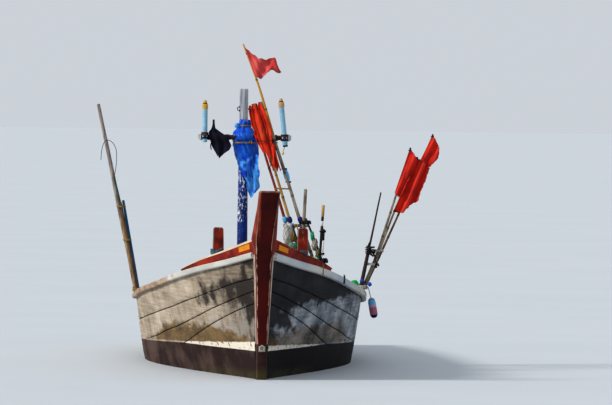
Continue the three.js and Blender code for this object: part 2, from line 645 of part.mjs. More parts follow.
PORT_FLAGS.forEach(({ index, top, foot, topWide, footWide, drop }, k) => {
  const row = PORT_POLES[index];
  const [high, low] = [portPlace(row, top), portPlace(row, foot)];
  const outline = [[high.x, high.z], [high.x + topWide, high.z - drop], [low.x + footWide, low.z - drop * 0.2 + 40], [low.x, low.z]];
  const radiusAt = (z) => {
    const share = (z - row.line[0].z) / (row.line[1].z - row.line[0].z);
    return row.radii[0] + (row.radii[1] - row.radii[0]) * share;
  };
  const y = besidePole(Math.min(high.y - radiusAt(top), low.y - radiusAt(foot)));
  add(`port_flag_${k + 1}`, clothPiece(outline, y, CLOTH), 'flag');
});

const FLOAT = { x: 994, y: -600, top: 560, bottom: 402, radius: 26 };
const floatAt = (z) => v(FLOAT.x + (FLOAT.top - z) * 0.18, FLOAT.y, z);
const floatBody = pole([floatAt(FLOAT.bottom), floatAt(FLOAT.bottom + 25), floatAt(FLOAT.top - 25), floatAt(FLOAT.top)],
  [14, FLOAT.radius, FLOAT.radius, 12], 12);
const stringTop = v(930, FLOAT.y, railTop(FLOAT.y) + 18);
const floatString = pole([floatAt(FLOAT.top - 20), v(966, FLOAT.y, railTop(FLOAT.y) + 12), stringTop], [4, 4, 4], 6);
add('hanging_float', cut(join(floatBody, floatString), lashing(...PORT_LASHINGS[0], SEAT)), 'float');

// Poles on the starboard rail, lashed together at the foot

const STARBOARD_FOOT = { x: -952, y: 200 };
const starboardTop = railTop(STARBOARD_FOOT.y);
const longPole = pole([v(STARBOARD_FOOT.x, STARBOARD_FOOT.y, starboardTop - 4), v(-1121, STARBOARD_FOOT.y, 1350),
  v(-1295, STARBOARD_FOOT.y, 2157)], [23, 19, 14]);
const shortPole = pole([v(-942, STARBOARD_FOOT.y - 34, starboardTop - 4), v(-1097, STARBOARD_FOOT.y - 34, 1330)], [12, 10]);
const bluePipe = pole([v(-932, STARBOARD_FOOT.y + 30, starboardTop - 4), v(-1075, STARBOARD_FOOT.y + 30, 1346)], [11, 11]);
const starboardLashing = box([-978, STARBOARD_FOOT.y - 50, starboardTop - 4], [-905, STARBOARD_FOOT.y + 46, starboardTop + 40]);
add('starboard_poles', cut(join(longPole, shortPole, bluePipe, starboardLashing), ...onRail.starboard), 'bamboo');

// Engine bracket on the transom, and the swivel that carries the engine

const BRACKET = { top: TRANSOM_Z + 16, post: 26, postTop: TRANSOM_Z + 34 };
const YOKE = { base: 45, floor: BRACKET.postTop + SEAT, inner: 36, outer: 48, half: 30, top: PIVOT.z + 28 };
const PIN_RADIUS = 12;

function upright(x, y, z0, z1, radius, sides = 16) {
  return pole([v(x, y, z0), v(x, y, z1)], [radius, radius], sides);
}

add('engine_bracket', join(
  box([-90, PIVOT.y - 55, TRANSOM_Z + SEAT], [90, TRANSOM_Y + TRANSOM_THICK, BRACKET.top]),
  box([-45, PIVOT.y - 55, AFT_DECK_Z + SEAT], [45, PIVOT.y - 25, BRACKET.top - 4]),
  upright(0, PIVOT.y, TRANSOM_Z + 2, BRACKET.postTop, BRACKET.post),
), 'steel');

const forkPlate = (sign) => box(
  [sign > 0 ? YOKE.inner : -YOKE.outer, PIVOT.y - YOKE.half, YOKE.floor],
  [sign > 0 ? YOKE.outer : -YOKE.inner, PIVOT.y + YOKE.half, YOKE.top]);
const yokeBody = join(upright(0, PIVOT.y, YOKE.floor, YOKE.floor + 14, YOKE.base), forkPlate(1), forkPlate(-1),
  box([-YOKE.outer, PIVOT.y - YOKE.half, YOKE.floor], [YOKE.outer, PIVOT.y + YOKE.half, YOKE.floor + 13]));
const pinLine = (half) => [v(-half, PIVOT.y, PIVOT.z), v(half, PIVOT.y, PIVOT.z)];
add('swivel_yoke', cut(yokeBody, pole(pinLine(80), [PIN_RADIUS + SEAT, PIN_RADIUS + SEAT], 16)), 'steel');

// Engine on its bed, all turning on the trunnion pins

const TUBE_RADIUS = 27;
const BED = { low: 476, high: 490, front: PIVOT.y - 500, back: PIVOT.y - 90, half: 120 };
add('engine_bed', join(
  box([-BED.half, BED.front, BED.low], [-BED.half + 46, BED.back, BED.high]),
  box([BED.half - 46, BED.front, BED.low], [BED.half, BED.back, BED.high]),
  box([-BED.half, BED.front, BED.low], [BED.half, BED.front + 46, BED.high]),
  box([-BED.half, BED.back - 46, BED.low], [BED.half, BED.back, BED.high]),
  box([-42, BED.back - 18, BED.low], [42, BED.back, PIVOT.z - TUBE_RADIUS - SEAT]),
), 'steel');

const CASE = { half: 110, front: PIVOT.y - 450, back: PIVOT.y - 130, low: BED.high + SEAT, high: 640 };
const FINS = 7;
const finPlates = Array.from({ length: FINS }, (_, k) => {
  const y = CASE.front + 60 + k * 22;
  return box([-175, y, 600], [40, y + 9, 770]);
});
add('engine_block', join(
  box([-CASE.half, CASE.front, CASE.low], [CASE.half, CASE.back, CASE.high]),
  box([-150, CASE.front + 60, 615], [25, CASE.front + 60 + 22 * (FINS - 1) + 9, 755]),
  ...finPlates,
  pole([v(0, CASE.front - 30, PIVOT.z + 30), v(0, CASE.front + 20, PIVOT.z + 30)], [92, 98], 20),
  box([-190, CASE.back - 95, 640], [-40, CASE.back - 5, 700]),
), 'engine');

const TANK = { x: 46, y: CASE.front + 160, z: 775, wide: 88, deep: 125, high: 58 };
const tankOutline = (inset) => {
  const [w, d, r] = [TANK.wide - inset, TANK.deep - inset, 30];
  const corner = (sx, sy) => [0, 1, 2].map((k) => {
    const turn = (k / 2) * (Math.PI / 2);
    const flip = sx * sy > 0 ? turn : Math.PI / 2 - turn;
    return [sx * (w - r + r * Math.cos(flip)), sy * (d - r + r * Math.sin(flip))];
  });
  return [...corner(1, 1), ...corner(-1, 1), ...corner(-1, -1), ...corner(1, -1)];
};
const tankRing = (inset, z) => tankOutline(inset).map(([x, y]) => v(TANK.x + x, TANK.y + y, z));
const tankBody = loft([tankRing(12, TANK.z - TANK.high), tankRing(0, TANK.z - TANK.high + 20), tankRing(0, TANK.z + 20), tankRing(22, TANK.z + 44)]);
const tankFeet = box([60, TANK.y - 60, CASE.high + SEAT], [90, TANK.y + 60, TANK.z - TANK.high + 8]);
const cylinderSpace = box([-200, CASE.front + 40, 590], [46, CASE.back - 60, 775]);
add('fuel_tank', cut(join(tankBody, tankFeet), cylinderSpace), 'tank');

// Tail tube with its trunnion pins, and the fin ahead of the propeller

const tailAt = (run, drop = 0) => v(0, PIVOT.y + run, PIVOT.z - drop);
const FIN = { from: TAIL_LENGTH - 330, to: TAIL_LENGTH - 120, depth: 130 };
add('tail_tube', join(
  pole([tailAt(-130 + SEAT), tailAt(TAIL_LENGTH - 300), tailAt(TAIL_LENGTH)], [TUBE_RADIUS, TUBE_RADIUS, 20], 14),
  pole(pinLine(58), [PIN_RADIUS, PIN_RADIUS], 14),
  pole([tailAt(-130 + SEAT), tailAt(-112)], [60, 60], 14),
  loft([-4, 4].map((x) => [
    v(x, PIVOT.y + FIN.from, PIVOT.z), v(x, PIVOT.y + FIN.to, PIVOT.z),
    v(x, PIVOT.y + FIN.to, PIVOT.z - FIN.depth), v(x, PIVOT.y + FIN.to - 90, PIVOT.z - FIN.depth),
  ])),
), 'steel');

// Tiller handle that reaches forward over the aft deck

const TILLER_LINE = [
  v(70, BED.front + 20, BED.low + 7), v(70, BED.front - 60, BED.low + 24),
  v(60, PIVOT.y - 700, 690), v(60, PIVOT.y - 950, 800),
];
const tillerTool = box([-200, BED.front - SEAT, BED.low - SEAT], [200, BED.back, BED.high + SEAT]);
add('tiller', cut(pole(TILLER_LINE, [14, 14, 14, 17], 10), tillerTool), 'steel');

// Propeller with two twisted blades

const PROPELLER = { start: TAIL_LENGTH + SEAT, length: 78, hub: 24, radius: 118, blade: 9 };
const BLADE_TABLE = [
  // distance out, chord, pitch in degrees
  [14, 46, 48],
  [60, 72, 34],
  [100, 58, 26],
  [118, 22, 22],
].map(([out, chord, pitch]) => ({ out, chord, pitch: THREE.MathUtils.degToRad(pitch) }));

function blade(turn) {
  const rings = BLADE_TABLE.map(({ out, chord, pitch }) => [[-1, -1], [1, -1], [1, 1], [-1, 1]].map(([a, b]) => {
    const along = (a * chord) / 2;
    const thick = (b * PROPELLER.blade) / 2;
    const run = along * Math.sin(pitch) + thick * Math.cos(pitch);
    const across = along * Math.cos(pitch) - thick * Math.sin(pitch);
    return v(across, PIVOT.y + PROPELLER.start + PROPELLER.length / 2 + run, out);
  }));
  return loft(rings).translate(0, 0, 0).applyMatrix4(new THREE.Matrix4().makeRotationY(turn)).translate(0, 0, PIVOT.z);
}

const hub = pole([tailAt(PROPELLER.start), tailAt(PROPELLER.start + PROPELLER.length), tailAt(PROPELLER.start + PROPELLER.length + 30)],
  [PROPELLER.hub, PROPELLER.hub - 3, 8], 14);
add('propeller', join(hub, blade(0), blade(Math.PI)), 'bronze');

export default boat;
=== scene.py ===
"""Longtail fishing boat: its planking, gear, flags and engine, built round the boat's solid parts.

Metres. The bow points to -Y, port is +X, Z is up, and the origin is on the waterline at midships.
"""

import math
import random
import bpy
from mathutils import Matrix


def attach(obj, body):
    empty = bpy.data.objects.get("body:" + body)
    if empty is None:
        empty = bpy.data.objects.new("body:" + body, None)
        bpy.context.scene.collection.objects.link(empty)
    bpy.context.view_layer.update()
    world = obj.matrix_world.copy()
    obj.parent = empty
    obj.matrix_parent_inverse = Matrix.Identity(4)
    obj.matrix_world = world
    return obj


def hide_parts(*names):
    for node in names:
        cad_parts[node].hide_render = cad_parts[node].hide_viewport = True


bl_info = {
    "name": "Longtail fishing boat",
    "version": (1, 0, 0),
    "blender": (4, 5, 0),
    "location": "View3D > Sidebar > Longtail boat",
    "description": "Builds the planking, gear, flags and finishes of a longtail fishing boat",
    "category": "Object",
}

import bpy
from bpy.props import FloatProperty, FloatVectorProperty, IntProperty, PointerProperty
from mathutils import Matrix, Vector, noise

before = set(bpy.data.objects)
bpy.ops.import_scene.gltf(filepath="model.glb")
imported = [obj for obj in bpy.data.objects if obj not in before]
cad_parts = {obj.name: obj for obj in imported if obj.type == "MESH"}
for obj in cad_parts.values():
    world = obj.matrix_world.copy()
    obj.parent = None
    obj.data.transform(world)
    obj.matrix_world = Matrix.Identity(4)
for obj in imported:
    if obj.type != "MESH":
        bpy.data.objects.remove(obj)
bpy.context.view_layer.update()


# Hull lines, the same as those of the solid hull

STEM_HEAD = (-3.9, 1.465)
STEM_RAKE = 0.314
STEM_DEPTH = 0.14
STERN_Y = 3.7
PLANK = 0.025
# Small gaps: from the stem to the planks, between butted planks, and at the ends of a board laid across
STEM_GAP = 0.0015
BUTT_GAP = 0.0004
BOARD_PLAY = 0.004
KEEL_HALF = 0.035
FLARE_POWER = 0.85
COLUMNS = ("share", "sheer_half", "sheer_z", "water_half", "keel_z", "low_z", "high_z")
SECTIONS = [dict(zip(COLUMNS, row)) for row in (
    (0.00, 0.072, 0.990, 0.042, -0.250, 0.550, 0.775),
    (0.06, 0.271, 0.919, 0.158, -0.330, 0.490, 0.722),
    (0.13, 0.474, 0.853, 0.310, -0.370, 0.415, 0.658),
    (0.21, 0.644, 0.779, 0.475, -0.390, 0.285, 0.587),
    (0.30, 0.791, 0.696, 0.635, -0.400, 0.175, 0.517),
    (0.40, 0.899, 0.628, 0.780, -0.400, 0.095, 0.425),
    (0.50, 0.948, 0.566, 0.862, -0.400, 0.045, 0.318),
    (0.60, 0.951, 0.532, 0.868, -0.400, 0.020, 0.280),
    (0.70, 0.921, 0.523, 0.835, -0.385, 0.010, 0.270),
    (0.80, 0.841, 0.528, 0.765, -0.350, 0.030, 0.280),
    (0.90, 0.720, 0.543, 0.650, -0.290, 0.060, 0.305),
    (1.00, 0.560, 0.565, 0.500, -0.210, 0.090, 0.335),
)]
STEM_BACK = ((0.0, STEM_HEAD[0] + STEM_HEAD[1] * STEM_RAKE + STEM_DEPTH), (-0.07, -3.272), (-0.175, -3.215),
             (-0.25, -3.15))
SIDES = (("port", 1), ("starboard", -1))


def read(column, share):
    """A column of the section table at any share of the length, on a smooth curve through its rows."""
    i = next((k for k, row in enumerate(SECTIONS) if row["share"] >= share), len(SECTIONS) - 1)
    i = max(i, 1)
    low, high = SECTIONS[i - 1], SECTIONS[i]
    span = high["share"] - low["share"]
    t = (share - low["share"]) / span

    def slope(k):
        before, after = SECTIONS[max(k - 1, 0)], SECTIONS[min(k + 1, len(SECTIONS) - 1)]
        return (after[column] - before[column]) / (after["share"] - before["share"])

    m0, m1 = slope(i - 1) * span, slope(i) * span
    t2, t3 = t * t, t * t * t
    return ((2 * t3 - 3 * t2 + 1) * low[column] + (t3 - 2 * t2 + t) * m0
            + (3 * t2 - 2 * t3) * high[column] + (t3 - t2) * m1)


def stem_back_y(z):
    """The aft face of the stem at a height."""
    if z >= 0:
        return STEM_HEAD[0] + (STEM_HEAD[1] - z) * STEM_RAKE + STEM_DEPTH
    for (z0, y0), (z1, y1) in zip(STEM_BACK, STEM_BACK[1:]):
        if z >= z1 or (z1, y1) == STEM_BACK[-1]:
            return y0 + (z - z0) / (z1 - z0) * (y1 - y0)


def line_y(share, z):
    """The y at a share of the planks' length, at a height."""
    return (stem_back_y(z) + STEM_GAP) * (1 - share) + STERN_Y * share


def share_at(y, z):
    """The share of the length at which a height has this y."""
    back = stem_back_y(z) + STEM_GAP
    return (y - back) / (STERN_Y - back)


def half_breadth(share, z):
    """Half the breadth over the planks at a share of the length and a height."""
    water = read("water_half", share)
    if z >= 0:
        return water + (read("sheer_half", share) - water) * (z / read("sheer_z", share)) ** FLARE_POWER
    deep = min(z / read("keel_z", share), 1)
    return KEEL_HALF + (water - KEEL_HALF) * (1 - deep * deep) ** 0.7


def inside_half(y, z):
    """Half the length of a board laid across the boat inside its planking."""
    return half_breadth(share_at(y, z), z) - PLANK - BOARD_PLAY


def skin(share, z):
    """A point of the port skin."""
    return Vector((half_breadth(share, z), line_y(share, z), z))


def skin_normal(share, z):
    """The outward direction of the port skin."""
    s0, s1 = max(share - 0.004, 0), min(share + 0.004, 1)
    keel = read("keel_z", share)
    z0, z1 = max(z - 0.01, keel * 0.999), max(z + 0.01, keel * 0.999 + 0.02)
    normal = (skin(s1, z) - skin(s0, z)).cross(skin(share, z1) - skin(share, z0))
    normal.normalize()
    return normal if normal.x > 0 else -normal


def near_sheer(share, out, lift):
    """A point near the port sheer, moved out and up from it, kept behind the stem and off the middle."""
    z = read("sheer_z", share)
    flat = skin_normal(share, z)
    flat.z = 0
    base = skin(share, z) + flat.normalized() * out
    y = base.y + line_y(share, z + lift) - line_y(share, z)
    return Vector((max(base.x, 0.006), max(y, stem_back_y(z + lift) + 0.0004), z + lift))


def side_point(point, side):
    return Vector((point.x * side, point.y, point.z))


# Mesh tools


def jitter(point, scale, amount, seed=0.0):
    """A smooth random number for a place, between -amount and amount."""
    return noise.noise(Vector(point) * scale + Vector((seed, seed * 0.7, -seed))) * amount


def angles(count, extra=0):
    """The angles of points spread evenly round a ring. extra is how many go on past the first."""
    return [2 * math.pi * k / count for k in range(count + extra)]


def spread(start, span, count):
    """Values spread evenly over a span, with both its ends."""
    return [start + span * k / count for k in range(count + 1)]


def smooth_path(places, step):
    """Points on a smooth curve through the places, about step apart."""
    places = [Vector(p) for p in places]
    ends = [places[0] * 2 - places[1]] + places + [places[-1] * 2 - places[-2]]
    path = []
    for a, b, c, d in zip(ends, ends[1:], ends[2:], ends[3:]):
        count = max(int((c - b).length / step), 1)
        for k in range(count):
            t = k / count
            path.append(0.5 * (2 * b + (c - a) * t + (2 * a - 5 * b + 4 * c - d) * t * t
                               + (3 * b - a - 3 * c + d) * t ** 3))
    return path + [places[-1]]


def along_table(rows, value):
    """A row of numbers read from a table by its first column, on straight lines from row to row."""
    for low, high in zip(rows, rows[1:]):
        if value <= high[0] or high is rows[-1]:
            t = min(max((value - low[0]) / (high[0] - low[0]), 0), 1)
            return [a + (b - a) * t for a, b in zip(low, high)]


class Shape:
    """Points and faces gathered for one piece. mark is the finish number of the next faces."""

    def __init__(self):
        self.points = []
        self.faces = []
        self.marks = []
        self.worn = []
        self.mark = 0

    def loft(self, rings, worn=None, caps=True):
        """A skin through rings of as many points each. worn is how worn the points of a ring, or all, are."""
        count = len(rings[0])
        base = len(self.points)
        last = base + (len(rings) - 1) * count
        faces = []
        for start in range(base, last, count):
            for k in range(count):
                a, b = start + k, start + (k + 1) % count
                faces.append([a, b, b + count, a + count])
        if caps:
            faces.append(list(reversed(range(base, base + count))))
            faces.append(list(range(last, last + count)))
        if worn and len(worn) == count:
            worn = list(worn) * len(rings)
        self.points += [Vector(p) for ring in rings for p in ring]
        self.worn += worn or [0.0] * (len(rings) * count)
        self.faces += faces
        self.marks += [self.mark] * len(faces)

    def tube(self, places, radii, sides=10):
        """A round bar through places. radii is one number, or one for each place."""
        places = [Vector(p) for p in places]
        radii = radii if isinstance(radii, (list, tuple)) else [radii] * len(places)
        first = (places[1] - places[0]).normalized()
        across = first.orthogonal().normalized()
        rings = []
        for i, place in enumerate(places):
            along = (places[min(i + 1, len(places) - 1)] - places[max(i - 1, 0)]).normalized()
            across = (across - along * across.dot(along)).normalized()
            up = along.cross(across)
            rings.append([place + (across * math.cos(t) + up * math.sin(t)) * radii[i]
                          for t in angles(sides)])
        self.loft(rings)

    def rope(self, places, radius, lay=0.06, sides=5):
        """A laid rope of three strands through places."""
        path = smooth_path(places, radius * 1.6)
        reach = 0
        frames = []
        across = (path[1] - path[0]).orthogonal().normalized()
        for i, place in enumerate(path):
            along = (path[min(i + 1, len(path) - 1)] - path[max(i - 1, 0)]).normalized()
            across = (across - along * across.dot(along)).normalized()
            if i:
                reach += (place - path[i - 1]).length
            frames.append((place, across.copy(), along.cross(across), reach))
        for strand in range(3):
            turns = [2 * math.pi * (at / lay + strand / 3) for *_, at in frames]
            self.tube([place + (a * math.cos(t) + b * math.sin(t)) * radius * 0.5
                       for (place, a, b, _), t in zip(frames, turns)], radius * 0.56, sides)

    def box(self, low, high, edge):
        """A block with chamfered edges."""
        middle = (Vector(low) + Vector(high)) / 2
        half = (Vector(high) - Vector(low)) / 2
        edge = min(edge, min(half) * 0.45)
        rings = []
        for z, inset in ((-half.z, edge), (-half.z + edge, 0), (half.z - edge, 0), (half.z, edge)):
            x, y = half.x - inset, half.y - inset
            ring = []
            for sx, sy in ((1, 1), (-1, 1), (-1, -1), (1, -1)):
                pair = [Vector((sx * x, sy * (y - edge), z)), Vector((sx * (x - edge), sy * y, z))]
                ring += pair if sx * sy > 0 else pair[::-1]
            rings.append([middle + p for p in ring])
        self.loft(rings)

    def stud(self, centre, normal, radius, high=0.002, sides=8):
        """A low round head on a surface."""
        normal = Vector(normal).normalized()
        a = normal.orthogonal().normalized()
        b = normal.cross(a)
        rings = []
        for lift, share in ((-0.002, 1.0), (high * 0.6, 1.0), (high, 0.6)):
            place = Vector(centre) + normal * lift
            rings.append([place + (a * math.cos(t) + b * math.sin(t)) * radius * share
                          for t in angles(sides)])
        self.loft(rings)

    def piece(self, name, finishes, body="hull", slot=None, stands_for=(), sharp=35):
        """Makes the gathered faces one object on a body. finishes is a name, or a name for each mark."""
        mesh = bpy.data.meshes.new(name)
        mesh.from_pydata(self.points, [], self.faces)
        for kind in [finishes] if isinstance(finishes, str) else finishes:
            mesh.materials.append(finish(kind))
        mesh.polygons.foreach_set("material_index", self.marks)
        worn = mesh.attributes.new("worn", "FLOAT", "POINT")
        worn.data.foreach_set("value", self.worn)
        mesh.validate()
        obj = bpy.data.objects.new(name, mesh)
        bpy.context.scene.collection.objects.link(obj)
        turn_faces_out(obj)
        mesh.shade_smooth()
        mesh.set_sharp_from_angle(angle=math.radians(sharp))
        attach(obj, body)
        if stands_for:
            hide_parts(*stands_for)
        return obj


def turn_faces_out(obj):
    """Turns the normals of a closed mesh outwards."""
    bpy.context.view_layer.objects.active = obj
    bpy.ops.object.mode_set(mode="EDIT")
    bpy.ops.mesh.select_all(action="SELECT")
    bpy.ops.mesh.normals_make_consistent(inside=False)
    bpy.ops.object.mode_set(mode="OBJECT")


def cloth(name, place, across, along, thick, finishes, rests_on, flat, held, **riding):
    """A closed thin cloth. place gives a point for two shares of 0 to 1, along the hoist and out from it."""
    grid = [[Vector(place(i / along, k / across)) for k in range(across + 1)] for i in range(along + 1)]

    def normal(i, k):
        du = grid[min(i + 1, along)][k] - grid[max(i - 1, 0)][k]
        dv = grid[i][min(k + 1, across)] - grid[i][max(k - 1, 0)]
        return du.cross(dv).normalized()

    shape = Shape()
    front = [[grid[i][k] + normal(i, k) * thick / 2 for k in range(across + 1)] for i in range(along + 1)]
    back = [[grid[i][k] - normal(i, k) * thick / 2 for k in range(across + 1)] for i in range(along + 1)]
    rings = [front[i] + back[i][::-1] for i in range(along + 1)]
    width = across + 1
    worn = []
    for i in range(along + 1):
        edge = [max(0.0, 1 - min(i, along - i, across - k) / 1.5) for k in range(width)]
        worn += edge + edge[::-1]
    shape.loft(rings, worn=worn, caps=False)
    for i in (0, along):
        base = i * width * 2
        faces = [(base + k, base + k + 1, base + 2 * width - 2 - k, base + 2 * width - 1 - k)
                 for k in range(across)]
        shape.faces += faces
        shape.marks += [0] * len(faces)
    obj = shape.piece(name, finishes, sharp=60, **riding)


# Finishes


def paint(red, green, blue):
    """A colour given on the usual scale of 0 to 255."""
    return tuple(c / 255 / 12.92 if c <= 10 else ((c / 255 + 0.055) / 1.055) ** 2.4
                 for c in (red, green, blue))


def darker(colour, share):
    return tuple(c * share for c in colour)


class Wire:
    """A shader value that takes part in Python sums."""

    def __init__(self, finish, socket):
        self.finish = finish
        self.socket = socket

    def __add__(self, other):
        return self.finish.math("ADD", self, other)

    def __sub__(self, other):
        return self.finish.math("SUBTRACT", self, other)

    def __rsub__(self, other):
        return self.finish.math("SUBTRACT", other, self)

    def __mul__(self, other):
        return self.finish.math("MULTIPLY", self, other)

    __radd__ = __add__
    __rmul__ = __mul__

    def upto(self, other):
        """The smaller of two values."""
        return self.finish.math("MINIMUM", self, other)

    def least(self, other):
        """The larger of two values."""
        return self.finish.math("MAXIMUM", self, other)

    def over(self, edge, soft):
        """0 under the edge and 1 over it, with a soft change between."""
        return self.finish.node(
            "ShaderNodeMapRange", {"interpolation_type": "SMOOTHSTEP"},
            {0: self, 1: edge - soft / 2, 2: edge + soft / 2, 3: 0.0, 4: 1.0})

    def under(self, edge, soft):
        return 1 - self.over(edge, soft)


class Finish:
    """A material written as sums on the boat's own coordinates."""

    def __init__(self, name):
        self.material = bpy.data.materials.new(name)
        self.material.use_nodes = True
        self.tree = self.material.node_tree
        self.tree.nodes.clear()
        self.where = self.node("ShaderNodeTexCoord", output="Object")
        self.x, self.y, self.z = (self.node("ShaderNodeSeparateXYZ", {}, {0: self.where}, output=k)
                                  for k in range(3))
        self.worn = self.node("ShaderNodeAttribute", {"attribute_name": "worn"}, output="Fac")

    def node(self, kind, settings=None, inputs=None, output=0):
        """One node: its settings, then the values or wires of its sockets."""
        made = self.tree.nodes.new(kind)
        for key, value in (settings or {}).items():
            setattr(made, key, value)
        for key, value in (inputs or {}).items():
            if isinstance(value, Wire):
                self.tree.links.new(value.socket, made.inputs[key])
            elif value is not None:
                made.inputs[key].default_value = value
        return Wire(self, made.outputs[output])

    def math(self, operation, *values):
        return self.node("ShaderNodeMath", {"operation": operation}, dict(enumerate(values)))

    def vector(self, operation, *values):
        return self.node("ShaderNodeVectorMath", {"operation": operation}, dict(enumerate(values)))

    def noise(self, scale, detail=3.0, stretch=(1, 1, 1), shift=0.0, rough=0.55):
        """Noise of about this many patches a metre, stretched by the scale of each axis."""
        place = self.vector("MULTIPLY_ADD", self.where, stretch, (shift, shift * 0.37, shift * 0.71))
        return self.node("ShaderNodeTexNoise", {"noise_dimensions": "3D"},
                         {"Vector": place, "Scale": scale, "Detail": detail, "Roughness": rough})

    def cells(self, scale, stretch):
        """The distance from the middles of crumpled cells."""
        place = self.vector("MULTIPLY", self.where, stretch)
        return self.node("ShaderNodeTexVoronoi", {}, {"Vector": place, "Scale": scale}, output="Distance")

    def waves(self, scale, bend, direction):
        """Bands across one axis, such as the threads of a cloth."""
        return self.node("ShaderNodeTexWave", {"wave_type": "BANDS", "bands_direction": direction},
                         {"Vector": self.where, "Scale": scale, "Distortion": bend, "Detail": 2.0},
                         output="Fac")

    def mix(self, share, low, high):
        """A colour between two colours."""
        low, high = ((*c, 1) if isinstance(c, tuple) and len(c) == 3 else c for c in (low, high))
        return self.node("ShaderNodeMix", {"data_type": "RGBA", "clamp_factor": True},
                         {0: share, 6: low, 7: high}, output=2)

    def between(self, value, soft, low, high):
        """Two colours of 0 to 255, mixed where a value crosses a half."""
        return self.mix(value.over(0.5, soft), paint(*low), paint(*high))

    def tints(self, value, *stops):
        """A colour read from stops of a place and a colour of 0 to 255."""
        made = self.tree.nodes.new("ShaderNodeValToRGB")
        self.tree.links.new(value.socket, made.inputs[0])
        ramp = made.color_ramp
        while len(ramp.elements) < len(stops):
            ramp.elements.new(0.5)
        for element, (place, colour) in zip(ramp.elements, stops):
            element.position = place
            element.color = (*paint(*colour), 1)
        return Wire(self, made.outputs[0])

    def surface(self, colour, rough=0.7, height=None, rise=0.004, strength=0.6, **constants):
        """Closes the material: its colour, its roughness, and its relief, rise metres high."""
        inputs = {"Base Color": colour, "Roughness": rough, "Specular IOR Level": 0.2}
        for key, value in constants.items():
            inputs[key.replace("_", " ").title()] = value
        if height is not None:
            inputs["Normal"] = self.node("ShaderNodeBump", {}, {
                "Strength": strength, "Distance": rise, "Height": height}, output="Normal")
        shader = self.node("ShaderNodeBsdfPrincipled", {}, inputs)
        end = self.tree.nodes.new("ShaderNodeOutputMaterial")
        self.tree.links.new(shader.socket, end.inputs["Surface"])
        return self.material


FINISHES = {}


def finish(name):
    """A finished material by name, made when it is first asked for."""
    if name not in FINISHES:
        maker, *values = FINISH_TABLE[name]
        FINISHES[name] = maker(Finish(name), *[finish_value(value) for value in values])
    return FINISHES[name]


def finish_value(value):
    """What a maker gets from its row: a user's colour by name, a colour of 0 to 255, or a number."""
    if isinstance(value, str):
        return tuple(getattr(bpy.context.scene.longtail_paint, value))
    return paint(*value) if isinstance(value, tuple) else value


